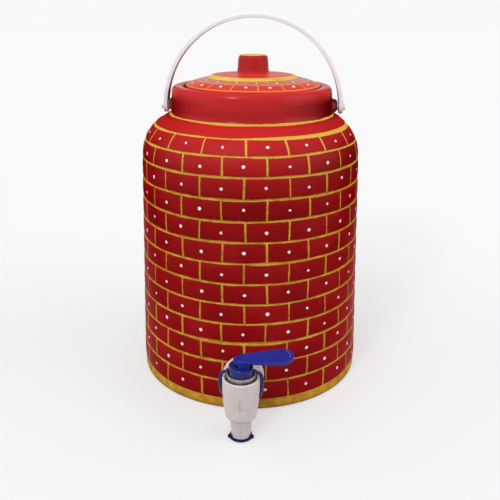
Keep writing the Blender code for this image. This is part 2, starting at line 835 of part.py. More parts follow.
def make_cap():
    place = Matrix.Translation(tap_centre)
    flange_top = cap_base_height + cap_flange_height
    cap = add_part('tap_cap', turned_mesh(filleted([
        (0, cap_top_height, 0),
        (cap_radius, cap_top_height, cap_round),
        (cap_radius, flange_top, 0),
        (nut_pocket_radius - touch_gap, flange_top, 0),
        (nut_pocket_radius - touch_gap, cap_base_height, 0),
        (0, cap_base_height, 0),
    ])), blue_plastic, place)
    pocket_left = -lever_root_left - lever_swing_room - touch_gap
    pocket_right = lever_pivot_offset + lever_root_right + lever_swing_room
    pocket_half = lever_root_half_width + touch_gap
    pocket_floor = lever_pivot_height - lever_root_depth - lever_swing_room
    cut(cap, box_mesh((pocket_left, -pocket_half, pocket_floor), (pocket_right, pocket_half, blade_height)),
        lever_frame)
    hole_low = cap_base_height - cap_round
    cut(cap, cylinder_mesh(stem_radius + touch_gap, hole_low, blade_height, bolt_segments), place)
    at_pin = lever_frame @ Matrix.Translation((lever_pivot_offset, 0, lever_pivot_height)) @ along_y
    reach = cap_radius + through
    cut(cap, cylinder_mesh(lever_pin_radius + touch_gap, -reach, reach, pin_segments), at_pin)
    stud_end = cap_radius - yoke_stud_length - touch_gap
    at_studs = Matrix.Translation(tap_centre + Vector((0, 0, yoke_pivot_height))) @ along_x
    for near, far in ((stud_end, reach), (-reach, -stud_end)):
        cut(cap, cylinder_mesh(yoke_stud_radius + touch_gap, near, far, pin_segments), at_studs)
    pin_reach = math.sqrt(cap_radius ** 2 - lever_pivot_offset ** 2) - touch_gap
    pin_mesh = cylinder_mesh(lever_pin_radius, -pin_reach, pin_reach, pin_segments)
    add_part('lever_pin', pin_mesh, blue_plastic, at_pin)


def make_valve():
    place = Matrix.Translation(tap_centre)
    holder_top = holder_base_height + seal_holder_height
    button_top = seal_base_height - touch_gap
    axis = add_axis('valve_axis', place)
    stem = add_part('valve_stem', turned_mesh(filleted([
        (0, stem_top_height, 0),
        (stem_radius, stem_top_height, stem_top_round),
        (stem_radius, holder_top, 0),
        (seal_holder_radius, holder_top, 0),
        (seal_holder_radius, holder_base_height, 0),
        (stem_stud_radius, holder_base_height, 0),
        (stem_stud_radius, button_top, 0),
        (stem_button_radius, button_top, 0),
        (stem_button_radius - stem_button_taper, button_top - stem_button_height, 0),
        (0, button_top - stem_button_height, 0),
    ]), bolt_segments), steel, place, axis)
    at_pin = lever_frame @ Matrix.Translation((0, 0, lever_pivot_height)) @ along_y
    cut(stem, cylinder_mesh(stem_pin_radius + touch_gap, -seal_radius, seal_radius, pin_segments), at_pin)
    pin_reach = lever_root_half_width - touch_gap
    pin_mesh = cylinder_mesh(stem_pin_radius, -pin_reach, pin_reach, pin_segments)
    add_part('stem_pin', pin_mesh, steel, at_pin, axis)
    seal = tube_mesh(seal_radius, stem_stud_radius + touch_gap, seal_base_height,
                     seal_base_height + seal_thickness, small_segments)
    add_part('valve_seal', seal, rubber, place, axis)
    low = holder_top + touch_gap + spring_wire_radius
    high = cap_base_height - touch_gap - spring_wire_radius
    count = spring_turns * spring_points_per_turn
    coil = []
    for step in range(count + 1):
        turn = 2 * math.pi * step / spring_points_per_turn
        rise = low + (high - low) * step / count
        coil.append((spring_radius * math.cos(turn), spring_radius * math.sin(turn), rise))
    add_part('valve_spring', rod_mesh(coil, spring_wire_radius, 1), steel, place, axis)


def blade_outline():
    # A squarish tip and a round root, with straight sides between them.
    span = blade_tip_offset - blade_root_offset
    side = math.pi / 2 + math.asin((blade_tip_radius - blade_root_radius) / span)
    tip = []
    for point in arc((0, 0), 1, -math.pi / 2, math.pi / 2, bolt_segments):
        reach = (abs(point.x) ** blade_tip_power + abs(point.y) ** blade_tip_power) ** (-1 / blade_tip_power)
        tip.append(point * reach * blade_tip_radius + Vector((blade_tip_offset, 0)))
    root = arc((blade_root_offset, 0), blade_root_radius, side, 2 * math.pi - side, pin_segments)
    return tip + root


def make_lever():
    # The blade's underside is at blade_height; its root straddles the stem and takes both pins.
    blade = lever_frame @ Matrix.Translation((0, 0, blade_height + blade_thickness / 2))
    pivot = lever_frame @ Matrix.Translation((lever_pivot_offset, 0, lever_pivot_height))
    axis = add_axis('lever_axis', pivot)
    lever = add_part('lever', plate_mesh(blade_outline(), blade_thickness), blue_plastic, blade, axis)
    round_edges(lever, blade_edge)
    root_right = lever_pivot_offset + lever_root_right
    root_low = lever_pivot_height - lever_root_depth
    root_high = blade_height + blade_thickness / 2
    join(lever, box_mesh((-lever_root_left, -lever_root_half_width, root_low),
                         (root_right, lever_root_half_width, root_high)), lever_frame)
    neck_low = cap_top_height + 2 * touch_gap
    join(lever, cylinder_mesh(lever_neck_radius, neck_low, root_high, small_segments), lever_frame)
    cut_low = neck_low - touch_gap
    cut_reach = lever_neck_radius + touch_gap
    for near, far in ((-cut_reach, -lever_root_half_width), (lever_root_half_width, cut_reach)):
        cut(lever, box_mesh((lever_neck_right, near, cut_low), (cut_reach, far, blade_height)), lever_frame)
    past_root = box_mesh((root_right, -cut_reach, cut_low), (cut_reach, cut_reach, blade_height))
    cut(lever, past_root, lever_frame)
    slot_right = stem_radius + touch_gap + lever_swing_room
    slot_top = blade_height - stem_radius
    cut(lever, box_mesh((-blade_root_radius, -lever_slot_half_width, root_low - touch_gap),
                        (slot_right, lever_slot_half_width, slot_top)), lever_frame)
    for offset, radius in ((0, stem_pin_radius), (lever_pivot_offset, lever_pin_radius)):
        at_pin = lever_frame @ Matrix.Translation((offset, 0, lever_pivot_height)) @ along_y
        cut(lever, cylinder_mesh(radius + touch_gap, -cap_radius, cap_radius, pin_segments), at_pin)


def arm_route(side):
    # From the eye on the cap, out over the barrel's rim and down behind it to the push pad.
    eye = cap_radius + touch_gap + yoke_eye_thickness / 2
    clear = barrel_radius + yoke_arm_radius + 2 * touch_gap
    pad_middle = nozzle_top_radius + pad_gap + pad_thickness / 2
    out, back, drop = arm_shoulder
    route = [(eye, 0, yoke_pivot_height), (eye + out, back, yoke_pivot_height - drop)]
    route += [(clear - inward, back, barrel_top_height - drop) for inward, back, drop in arm_bends]
    route.append((pad_width / 2 - yoke_arm_radius, pad_middle, barrel_foot_height - arm_end_drop))
    return [(side * x, y, z) for x, y, z in route]


def make_yoke():
    # The two eyes, arms, push pad and ring are one moulding; it hangs on studs in the cap's sides.
    place = Matrix.Translation(tap_centre)
    at_studs = Matrix.Translation(tap_centre + Vector((0, 0, yoke_pivot_height)))
    eye_start = cap_radius + touch_gap
    stud_start = cap_radius - yoke_stud_length
    pad_front = nozzle_top_radius + pad_gap
    pad_back = pad_front + pad_thickness
    lane = push_ring_bore + push_ring_width / 2
    ring_top = push_ring_lift + push_ring_thickness
    ring_outer = push_ring_bore + push_ring_width
    ring = tube_mesh(ring_outer, push_ring_bore, push_ring_lift, ring_top, small_segments)
    yoke = add_part('yoke', ring, blue_plastic, place, add_axis('yoke_axis', at_studs))
    for side in (1, -1):
        turn = -math.pi / 2 + side * push_ear_turn
        ear = Matrix.Translation((lane * math.cos(turn), lane * math.sin(turn), 0))
        ear_low, ear_high = push_ring_lift + push_ear_step, ring_top + push_ear_step
        join(yoke, cylinder_mesh(push_ear_radius, ear_low, ear_high, bolt_segments), place @ ear)
    pad_low = push_ring_lift + touch_gap
    pad_top = push_ring_lift + pad_height
    join(yoke, box_mesh((-pad_width / 2, pad_front, pad_low), (pad_width / 2, pad_back, pad_top)), place)
    pad_middle = (pad_front + pad_back) / 2
    foot = box_mesh((-lane / 2, lane, pad_low + touch_gap), (lane / 2, pad_middle, ring_top - touch_gap))
    join(yoke, foot, place)
    for side in (1, -1):
        join(yoke, rod_mesh(arm_route(side), yoke_arm_radius), place)
        facing = Matrix.Rotation(0 if side > 0 else math.pi, 4, 'Z') @ along_x
        eye = turned_mesh([
            (0, eye_start + yoke_eye_thickness),
            (yoke_eye_radius, eye_start + yoke_eye_thickness),
            (yoke_eye_radius, eye_start),
            (yoke_stud_radius, eye_start),
            (yoke_stud_radius, stud_start),
            (0, stud_start),
        ], bolt_segments)
        join(yoke, eye, at_studs @ facing)


make_pot()
make_lid()
make_handle()
for pivot_name, (pivot_side, pivot_place) in pivot_sides.items():
    make_pivot(pivot_name, pivot_side, pivot_place)
make_tap_body()
make_inlet_fittings()
make_ring_nut()
make_cap()
make_valve()
make_lever()
make_yoke()
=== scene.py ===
# Painted clay water pot with a lid, a bail handle and a push tap.
import math
from functools import partial

import bmesh
import bpy
from mathutils import Matrix, Vector, noise


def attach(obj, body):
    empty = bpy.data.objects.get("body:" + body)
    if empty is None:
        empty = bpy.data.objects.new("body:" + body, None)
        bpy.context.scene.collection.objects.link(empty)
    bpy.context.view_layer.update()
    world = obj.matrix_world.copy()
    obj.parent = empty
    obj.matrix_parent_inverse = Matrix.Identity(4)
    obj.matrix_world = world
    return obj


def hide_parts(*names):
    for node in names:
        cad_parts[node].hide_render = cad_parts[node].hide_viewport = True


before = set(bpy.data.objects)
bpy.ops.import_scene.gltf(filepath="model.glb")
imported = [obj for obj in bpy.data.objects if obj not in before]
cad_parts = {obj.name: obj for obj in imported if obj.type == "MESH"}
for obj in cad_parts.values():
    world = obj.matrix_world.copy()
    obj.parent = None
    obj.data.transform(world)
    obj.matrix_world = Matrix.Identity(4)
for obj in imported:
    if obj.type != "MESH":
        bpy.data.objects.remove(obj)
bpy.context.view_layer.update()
print("frame loaded:", len(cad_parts), "nodes")

mm = 0.001
scene = bpy.context.scene


# small tools

def toLinear(hexText):
    # sRGB hex to the linear colour that a shader socket wants
    channels = [int(hexText[i:i + 2], 16) / 255 for i in (1, 3, 5)]
    return [c / 12.92 if c <= 0.04045 else ((c + 0.055) / 1.055) ** 2.4 for c in channels] + [1]


def fill(node, inputs):
    # links or sets a node's inputs, from a list in their order or a dictionary; hex text is a colour
    for key, value in inputs.items() if isinstance(inputs, dict) else enumerate(inputs):
        if isinstance(value, bpy.types.NodeSocket):
            node.id_data.links.new(value, node.inputs[key])
        else:
            node.inputs[key].default_value = toLinear(value) if isinstance(value, str) else value


def addNode(tree, kind, inputs=(), out=0, ramp=None, **settings):
    # adds a node, sets it up, fills its inputs and gives back one output; Math.ADD is a Math node set to ADD
    kind, dot, operation = kind.partition(".")
    node = tree.nodes.new("ShaderNode" + kind)
    if operation:
        node.operation = operation
    for key, value in settings.items():
        setattr(node, key, value)
    if ramp:
        for extra in range(len(ramp) - 2):
            node.color_ramp.elements.new(0.5)
        for stop, (place, colour) in zip(node.color_ramp.elements, ramp):
            stop.position = place
            stop.color = toLinear(colour) if isinstance(colour, str) else [colour, colour, colour, 1]
    fill(node, inputs)
    return node.outputs[out]


def startMaterial(name, **values):
    # a new Principled material; values are its plain socket settings, add puts nodes into its tree
    material = bpy.data.materials.new(name)
    material.use_nodes = True
    shader = material.node_tree.nodes["Principled BSDF"]
    fill(shader, {key.replace("_", " "): value for key, value in values.items()})
    return material, shader, partial(addNode, material.node_tree)


def addObject(name, data):
    thing = bpy.data.objects.new(name, data)
    scene.collection.objects.link(thing)
    return thing


def finished(bm, name):
    mesh = bpy.data.meshes.new(name)
    bm.to_mesh(mesh)
    bm.free()
    return mesh


def uneven(a, across, along):
    # noise that closes on itself round an axis, -1 to 1
    return noise.noise(Vector((math.sin(a) * across, math.cos(a) * across, along)))


def soften(mesh, sharp=38):
    # smooth shading, but crisp where faces meet at more than so many degrees
    mesh.shade_smooth()
    mesh.set_sharp_from_angle(angle=math.radians(sharp))
    return mesh


def weld(mesh, sharp=38):
    bm = bmesh.new()
    bm.from_mesh(mesh)
    bmesh.ops.remove_doubles(bm, verts=bm.verts, dist=0.000002)
    bmesh.ops.recalc_face_normals(bm, faces=bm.faces)
    bm.to_mesh(mesh)
    bm.free()
    return soften(mesh, sharp)


def shift(x, y, z):
    return Matrix.Translation((x * mm, y * mm, z * mm))


def spin(degrees, axis):
    return Matrix.Rotation(math.radians(degrees), 4, axis)


def placed(mesh, place):
    mesh.transform(place)
    return mesh


def turned(name, rows, columns, closed=False, around=1.0, nudge=None):
    # rows are (radius mm, height mm, along, slot) from the top centre down the outside;
    # the UV map holds turns round the axis times around, and along
    points, faces, uvs, slots = [], [], [], []
    for r, z, along, slot in rows:
        for c in range(columns):
            a = 2 * math.pi * c / columns
            rr, zz = nudge(a, r, z, along) if nudge else (r, z)
            points.append((rr * math.sin(a) * mm, -rr * math.cos(a) * mm, zz * mm))
    for i in range(len(rows) if closed else len(rows) - 1):
        j = (i + 1) % len(rows)
        for c in range(columns):
            d = (c + 1) % columns
            faces.append((i * columns + c, j * columns + c, j * columns + d, i * columns + d))
            u0, u1 = around * c / columns, around * (c + 1) / columns
            uvs += [(u0, rows[i][2]), (u0, rows[j][2]), (u1, rows[j][2]), (u1, rows[i][2])]
            slots.append(rows[i][3])
    mesh = bpy.data.meshes.new(name)
    mesh.from_pydata(points, [], faces)
    layer = mesh.uv_layers.new(name="coursing")
    layer.data.foreach_set("uv", [x for pair in uvs for x in pair])
    mesh.polygons.foreach_set("material_index", slots)
    return weld(mesh)


def rounded(corners, closed=False):
    # (x, y, radius) corners in mm to a list of points with arcs of six steps
    out = []
    for i, (x, y, radius) in enumerate(corners):
        here = Vector((x, y))
        if radius == 0 or (not closed and i in (0, len(corners) - 1)):
            out.append((x, y))
            continue
        a = Vector(corners[i - 1][:2]) - here
        b = Vector(corners[(i + 1) % len(corners)][:2]) - here
        half = a.angle(b) / 2
        reach = min(radius / math.tan(half), a.length * 0.49, b.length * 0.49)
        centre = here + (a.normalized() + b.normalized()).normalized() * reach / math.cos(half)
        s = here + a.normalized() * reach - centre
        e = here + b.normalized() * reach - centre
        turn = (math.atan2(e.y, e.x) - math.atan2(s.y, s.x) + math.pi) % (2 * math.pi) - math.pi
        for k in range(7):
            p = centre + Matrix.Rotation(turn * k / 6, 2) @ s
            out.append((p.x, p.y))
    return out


def lathed(name, corners, columns, closed=True, nudge=None):
    # a turned piece from (radius, height, rounding) corners in mm; its running length is the along coordinate
    rows, length, before = [], 0.0, None
    for x, y in rounded(corners, closed):
        if before:
            length += math.hypot(x - before[0], y - before[1])
        rows.append((max(x, 0), y, length / 10, 0))
        before = (x, y)
    return turned(name, rows, columns, closed, nudge=nudge)


def rod(radius, low, high, columns=24):
    # a round cutter that stands on Z
    return lathed("rod", [(0, high, 0), (radius, high, 0), (radius, low, 0), (0, low, 0)], columns, False)


def addPiece(name, mesh, materials, body, node=None, place=None):
    # slots that a boolean brought along are filled, the others added, so that the faces keep their numbers
    for number, material in enumerate(materials):
        if number < len(mesh.materials):
            mesh.materials[number] = material
        else:
            mesh.materials.append(material)
    if place is not None:
        mesh.transform(place)
        if place.is_negative:
            mesh.flip_normals()
    piece = addObject(name, mesh)
    mesh.name = name
    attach(piece, body)
    if node:
        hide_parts(node)


def carve(mesh, cutter):
    # cuts one mesh out of another; both end in the one that comes back
    a, b = addObject("carved", mesh), addObject("cutter", cutter)
    boolean = a.modifiers.new("Boolean", "BOOLEAN")
    boolean.operation, boolean.object, boolean.solver = "DIFFERENCE", b, "EXACT"
    bpy.context.view_layer.update()
    done = bpy.data.meshes.new_from_object(a.evaluated_get(bpy.context.evaluated_depsgraph_get()))
    bpy.data.objects.remove(a)
    bpy.data.objects.remove(b)
    return soften(done)


def block(low, high, edge, segments=3):
    # a box in mm with rounded edges
    low, high = Vector(low), Vector(high)
    bm = bmesh.new()
    place = Matrix.Translation((low + high) / 2 * mm) @ Matrix.Diagonal((*((high - low) * mm), 1))
    bmesh.ops.create_cube(bm, size=1, matrix=place)
    bmesh.ops.bevel(bm, geom=bm.edges, offset=edge * mm, segments=segments, profile=0.5, affect="EDGES")
    return soften(finished(bm, "block"), 40)


def joined(meshes, sharp=38):
    # several meshes as one, each kept as its own shell
    bm = bmesh.new()
    for mesh in meshes:
        bm.from_mesh(mesh)
    return soften(finished(bm, "joined"), sharp)


def secondSlot(mesh):
    mesh.polygons.foreach_set("material_index", [1] * len(mesh.polygons))
    return mesh


def swept(path, section):
    # the closed outline section(i), in mm to the side and up, carried along the (place, side, up) of path
    verts, faces = [], []
    for i, (place, side, up) in enumerate(path):
        outline = section(i)
        verts += [tuple((Vector(place) + Vector(side) * s + Vector(up) * t) * mm) for s, t in outline]
    n, last = len(outline), len(path) - 1
    for i in range(last):
        for k in range(n):
            m = (k + 1) % n
            faces.append((i * n + k, i * n + m, (i + 1) * n + m, (i + 1) * n + k))
    faces += [tuple(range(n - 1, -1, -1)), tuple(last * n + k for k in range(n))]
    mesh = bpy.data.meshes.new("swept")
    mesh.from_pydata(verts, [], faces)
    return weld(mesh)


# materials

paint = {
    "redShade": "#5a0406", "redDeep": "#7c060a", "red": "#8e0a0d", "redFull": "#9b1418", "redLitTop": "#c42527",
    "goldLow": "#b07c24", "goldHigh": "#d4a638", "goldLitTop": "#dcb449", "goldEdge": "#8c4420",
    "orange": "#e87a32", "white": "#fbf6ee", "fleck": "#d4683c", "pit": "#6a3014",
    "bricks": 17, "brickSize": (41.0, 19.7),          # mm along the wall and up it
    "lineHalf": 1.12, "jointHalf": 0.7,               # mm, half the lines' width and the joints' least
    "wander": 0.044, "lean": 0.05,                    # how far joints stray and lean, in bricks
    "swell": 1.5, "wobble": 1.1,                      # mm, how far the brush swells and how far it trembles
    "dotShift": (1.3, 1.1), "dotSpread": (2.6, 2.2),  # mm, how far the dots lie off centre and stray
    "dotRadius": 1.2, "dotWobble": 0.7, "dotSoft": 0.14, "dotKey": 3.7,
}
lid = {
    "bricks": 16, "brickSize": (24.0, 11.5), "shift": 2.2, "seat": 289.3,
    "jointTurn": 6.7 / 22.5,      # a joint of the outer ring lies 6.7 degrees right of the tap
    "dotShift": (1.0, 0.65), "dotSpread": (2.0, 1.4),
    "dotRadius": 1.2, "dotWobble": 0.6, "dotSoft": 0.12, "dotKey": 8.1,
    "redLow": "#b8201f", "redHigh": "#d03028", "ringRed": "#d23c34", "ringReflection": "#b27a6e",
    "knobRed": "#8c1216", "crownRed": "#dd4a34", "goldLow": "#d2a42f", "goldHigh": "#e8c64e",
    "clay": "#e9c3a2",
}
away = 10.0       # mm, a gap that no line or dot reaches across


def placeInMm(add):
    return add("VectorMath.SCALE", {0: add("TexCoord", out="Object"), "Scale": 1000})


def courseMap(add):
    # u counts bricks round the axis and v courses downwards; row is v's whole part and upBrick the rest
    coursing = add("UVMap", uv_map="coursing")
    u, v = [add("SeparateXYZ", [coursing], i) for i in range(2)]
    return u, v, add("Math.FLOOR", [v]), add("Math.FRACT", [v])


def brickDots(add, look, shifted, row, upBrick, outside, wobbleMm):
    # a dot of white in each brick, none quite round or quite central; the brick's last throw comes with it
    brick = add("Math.FLOOR", [shifted])
    brick = add("Math.FLOORED_MODULO", [brick, look["bricks"]])
    key = add("CombineXYZ", [brick, row, look["dotKey"]])
    dice = add("TexWhiteNoise", {"Vector": key}, "Color", noise_dimensions="3D")
    throws = [add("SeparateColor", [dice], i) for i in range(3)]
    shares = [add("Math.FRACT", [shifted]), upBrick]
    fromDot = []
    sides = zip(shares, look["brickSize"], look["dotShift"], look["dotSpread"], throws)
    for share, size, aside, spread, throw in sides:
        offset = add("Math.MULTIPLY_ADD", [share, size, -size / 2 - aside])
        fromDot.append(add("Math.MULTIPLY_ADD", [throw, spread, offset]))
    place = add("CombineXYZ", fromDot + [outside])
    toDot = add("VectorMath.LENGTH", [place], "Value")
    radius = add("Math.MULTIPLY_ADD", [throws[2], 0.5, look["dotRadius"]])
    radius = add("Math.MULTIPLY_ADD", [wobbleMm, look["dotWobble"], radius])
    gap = add("Math.SUBTRACT", [toDot, radius])
    return add("MapRange", [gap, look["dotSoft"], -look["dotSoft"]]), throws[2]


def brickworkPaint():
    # hand-brushed enamel on fired clay: a satin red ground, ochre joints with ragged edges
    # and a blob of white in the middle of each brick
    material, shader, add = startMaterial("brushedEnamelBrickwork", IOR=1.5, Specular_IOR_Level=0.12)
    brickLong, brickHigh = paint["brickSize"]
    u, v, row, upBrick = courseMap(add)
    placeMm = placeInMm(add)
    heightMm = add("SeparateXYZ", [placeMm], 2)
    oddRow = add("Math.FLOORED_MODULO", [row, 2])
    evenShift = add("Math.MULTIPLY_ADD", [oddRow, -0.5, 0.5])
    shifted = add("Math.ADD", [u, evenShift])

    # each upright joint wanders and leans a little, as a free hand does
    nearest = add("Math.ROUND", [shifted])
    joint = add("Math.FLOORED_MODULO", [nearest, paint["bricks"]])
    jointKey = add("CombineXYZ", [joint, row])
    jointDice = add("TexWhiteNoise", {"Vector": jointKey}, "Color", noise_dimensions="2D")
    strayThrow, leanThrow, widthThrow = [add("SeparateColor", [jointDice], i) for i in range(3)]
    wander = add("Math.MULTIPLY_ADD", [strayThrow, paint["wander"], -paint["wander"] / 2])
    lean = add("Math.MULTIPLY_ADD", [leanThrow, paint["lean"], -paint["lean"] / 2])
    leaning = add("Math.MULTIPLY_ADD", [lean, upBrick, wander])
    jointPlace = add("Math.ADD", [shifted, leaning])

    # ragged edges: a slow swell of the brush and a fine wobble, in mm
    swell, wobble, cloud, goldTone, grain = [
        add("TexNoise", {"Vector": placeMm, "Scale": 1 / size, "Detail": detail}, "Fac")
        for size, detail in ((24, 2.0), (3.2, 3.0), (38, 3.0), (9, 4.0), (1.4, 3.0))]
    swellMm = add("Math.MULTIPLY_ADD", [swell, paint["swell"], -paint["swell"] / 2])
    wobbleMm = add("Math.MULTIPLY_ADD", [wobble, paint["wobble"], -paint["wobble"] / 2])
    ragged = add("Math.ADD", [swellMm, wobbleMm])

    # the second line down is laid on twice to the right of the tap, the twelfth above it, the first all round
    rightward = add("MapRange", [u, 0.1, 2.2, 0.0, 1.35])
    onRight = add("MapRange", [u, 3.6, 6.2, 1.0, 0.0])
    twice = add("Math.MULTIPLY", [rightward, onRight])
    fromFront = add("Math.PINGPONG", [u, paint["bricks"] / 2])
    overTap = add("MapRange", [fromFront, 0.7, 1.8, 0.85, 0.0])
    lineHalf = add("Math.ADD", [ragged, paint["lineHalf"]])
    for extra, line, reach in ((twice, 1.0, 0.4), (overTap, 11.0, 0.4), (0.35, 0.0, 0.3)):
        near = add("Math.COMPARE", [v, line, reach])
        lineHalf = add("Math.MULTIPLY_ADD", [near, extra, lineHalf])

    # gaps in mm to the edge of the nearest line, joint and foot band; ochre lies where one is below 0
    inCourses = add("Math.COMPARE", [v, 7.5, 6.5])
    outside = add("Math.MULTIPLY_ADD", [inCourses, -away, away])
    toLine = add("Math.PINGPONG", [v, 0.5])
    lineGap = add("Math.MULTIPLY", [toLine, brickHigh])
    lineGap = add("Math.SUBTRACT", [lineGap, lineHalf])
    for beyond in (add("Math.LESS_THAN", [v, -0.5]), add("Math.GREATER_THAN", [v, 13.6])):
        lineGap = add("Math.MULTIPLY_ADD", [beyond, away, lineGap])
    toJoint = add("Math.PINGPONG", [jointPlace, 0.5])
    jointHalf = add("Math.MULTIPLY_ADD", [widthThrow, 0.5, paint["jointHalf"]])
    jointHalf = add("Math.ADD", [wobbleMm, jointHalf])
    jointGap = add("Math.MULTIPLY_ADD", [toJoint, brickLong, outside])
    jointGap = add("Math.SUBTRACT", [jointGap, jointHalf])
    footGap = add("Math.MULTIPLY_ADD", [v, -brickHigh, 14 * brickHigh])
    footGap = add("Math.SUBTRACT", [footGap, wobbleMm])
    gap = add("Math.MINIMUM", [lineGap, jointGap])
    gap = add("Math.MINIMUM", [gap, footGap])
    gold = add("MapRange", [gap, 0.16, -0.16])
    seam = add("MapRange", [gap, -0.6, 0.1, 0.0, 0.62])   # red shows through at the edge
    dots, brickThrow = brickDots(add, paint, shifted, row, upBrick, outside, wobbleMm)

    # the red ground: cloudy coverage, faint brush streaks round the pot and each brick its own load;
    # painted shade darkens each course towards its lower edge, and painted light brightens the red low down
    # on both sides
    streakPlace = add("VectorMath.MULTIPLY", [placeMm, (0.03, 0.03, 0.7)])
    streak = add("TexNoise", {"Vector": streakPlace, "Scale": 1.0, "Detail": 4.0}, "Fac")
    paintedLightLow = add("MapRange", [heightMm, 150, 80, 0.0, 0.45])
    paintedLightSides = add("MapRange", [fromFront, 1.5, 3.6, 0.1, 1.0])
    load = cloud
    for share, amount in ((streak, 0.4), (brickThrow, 0.18), (upBrick, -0.25), (paintedLightLow, paintedLightSides)):
        load = add("Math.MULTIPLY_ADD", [share, amount, load])
    ground = add("ValToRGB", [load], ramp=[
        (0.35, paint["redDeep"]), (0.68, paint["red"]), (1.0, paint["redFull"])])
    # painted light: towards the neck the red ground and the ochre are painted lighter, standing in for light
    # from above
    upper = add("MapRange", [heightMm, 205, 268])

    # painted shade: under the handle's arms the upper coat is darkened, a little on the shoulder, most on the
    # neck's right and not on the lip; the neck's foot is darkened all round too
    fromRight = add("Math.SUBTRACT", [u, paint["bricks"] / 4])
    fromRight = add("Math.ABSOLUTE", [fromRight])
    onRightSide = add("MapRange", [fromRight, 3.9, 0.9])
    onLeftSide = add("MapRange", [fromFront, 1.2, 3.4, 0.0, 0.9])
    sideways = add("Math.MAXIMUM", [onRightSide, onLeftSide])
    zone = add("MapRange", [heightMm, 210, 295])
    zone = add("ValToRGB", [zone], ramp=[
        (0.0, 0.0), (0.2, 0.72), (0.42, 0.68), (0.5, 0.42), (0.66, 0.25), (0.72, 1.0), (0.86, 1.0),
        (0.96, 0.0)])
    paintedShade = add("Math.MULTIPLY", [zone, sideways])
    neckFoot = add("MapRange", [heightMm, 268, 269.5, 0.0, 0.32])
    upNeck = add("MapRange", [heightMm, 274, 285, 1.0, 0.0])
    neckFoot = add("Math.MULTIPLY", [neckFoot, upNeck])
    paintedShade = add("Math.MAXIMUM", [paintedShade, neckFoot])
    fleck, pit = [add("TexVoronoi", {"Vector": placeMm, "Scale": 1 / size}, "Distance") for size in (21, 13)]
    fleck = add("MapRange", [fleck, 0.026, 0.018, 0.0, 0.75])
    for share, tone in ((upper, "redLitTop"), (paintedShade, "redShade"), (fleck, "fleck")):
        ground = add("Mix", {0: share, 6: ground, 7: paint[tone]}, 2, data_type="RGBA")

    # ochre: thin and thick, with small dark pits and an orange lower edge in the band at the foot
    goldColour = add("ValToRGB", [goldTone], ramp=[(0.32, paint["goldLow"]), (0.68, paint["goldHigh"])])
    footEdge = add("MapRange", [heightMm, 5.5, 1.5, 0.0, 0.55])
    seam = add("Math.MAXIMUM", [seam, footEdge])
    pit = add("MapRange", [pit, 0.09, 0.05, 0.0, 0.8])
    inFoot = add("MapRange", [footGap, 0.2, -0.2])
    pit = add("Math.MULTIPLY", [pit, inFoot])
    # painted light: the ochre on the upper wall is painted lighter too
    for share, tone in ((upper, "goldLitTop"), (seam, "goldEdge"), (pit, "pit")):
        goldColour = add("Mix", {0: share, 6: goldColour, 7: paint[tone]}, 2, data_type="RGBA")
    colour = ground
    for share, over in ((gold, goldColour), (dots, paint["white"])):
        colour = add("Mix", {0: share, 6: colour, 7: over}, 2, data_type="RGBA")

    # paint stands a little proud; the clay under it is slightly pitted and ringed by the wheel; heights in mm
    wheelPlace = add("VectorMath.MULTIPLY", [placeMm, (0.006, 0.006, 0.2)])
    wheel = add("TexNoise", {"Vector": wheelPlace, "Scale": 1.0, "Detail": 2.0}, "Fac")
    height = 0.0
    for share, lift in ((gold, 0.16), (dots, 0.35), (grain, 0.07), (wheel, 0.4), (pit, -0.3)):
        height = add("Math.MULTIPLY_ADD", [share, lift, height])
    relief = add("Bump", {"Height": height, "Distance": mm, "Strength": 0.8})

    # satin, duller on the ochre and rubbed shinier on the neck, and chalky towards the outline
    rubbed = add("MapRange", [heightMm, 262, 272])
    gloss = add("MapRange", [cloud, 0.3, 0.7, 0.32, 0.44])
    for share, rougher in ((gold, 0.12), (rubbed, -0.17)):
        gloss = add("Math.MULTIPLY_ADD", [share, rougher, gloss])
    shine = add("Math.MULTIPLY_ADD", [rubbed, 0.055, 0.075])
    rim = add("MapRange", [heightMm, 0, 300])
    rim = add("ValToRGB", [rim], ramp=[(0.0, 0.014), (0.45, 0.005), (0.65, 0.0), (0.95, 0.0), (0.98, 0.015)])
    facing = add("LayerWeight", {"Blend": 0.5}, "Facing")
    shine = add("MapRange", [facing, 0.05, 0.56, shine, rim], interpolation_type="SMOOTHSTEP")
    fill(shader, {"Base Color": colour, "Normal": relief, "Roughness": gloss, "Specular IOR Level": shine})
    return material


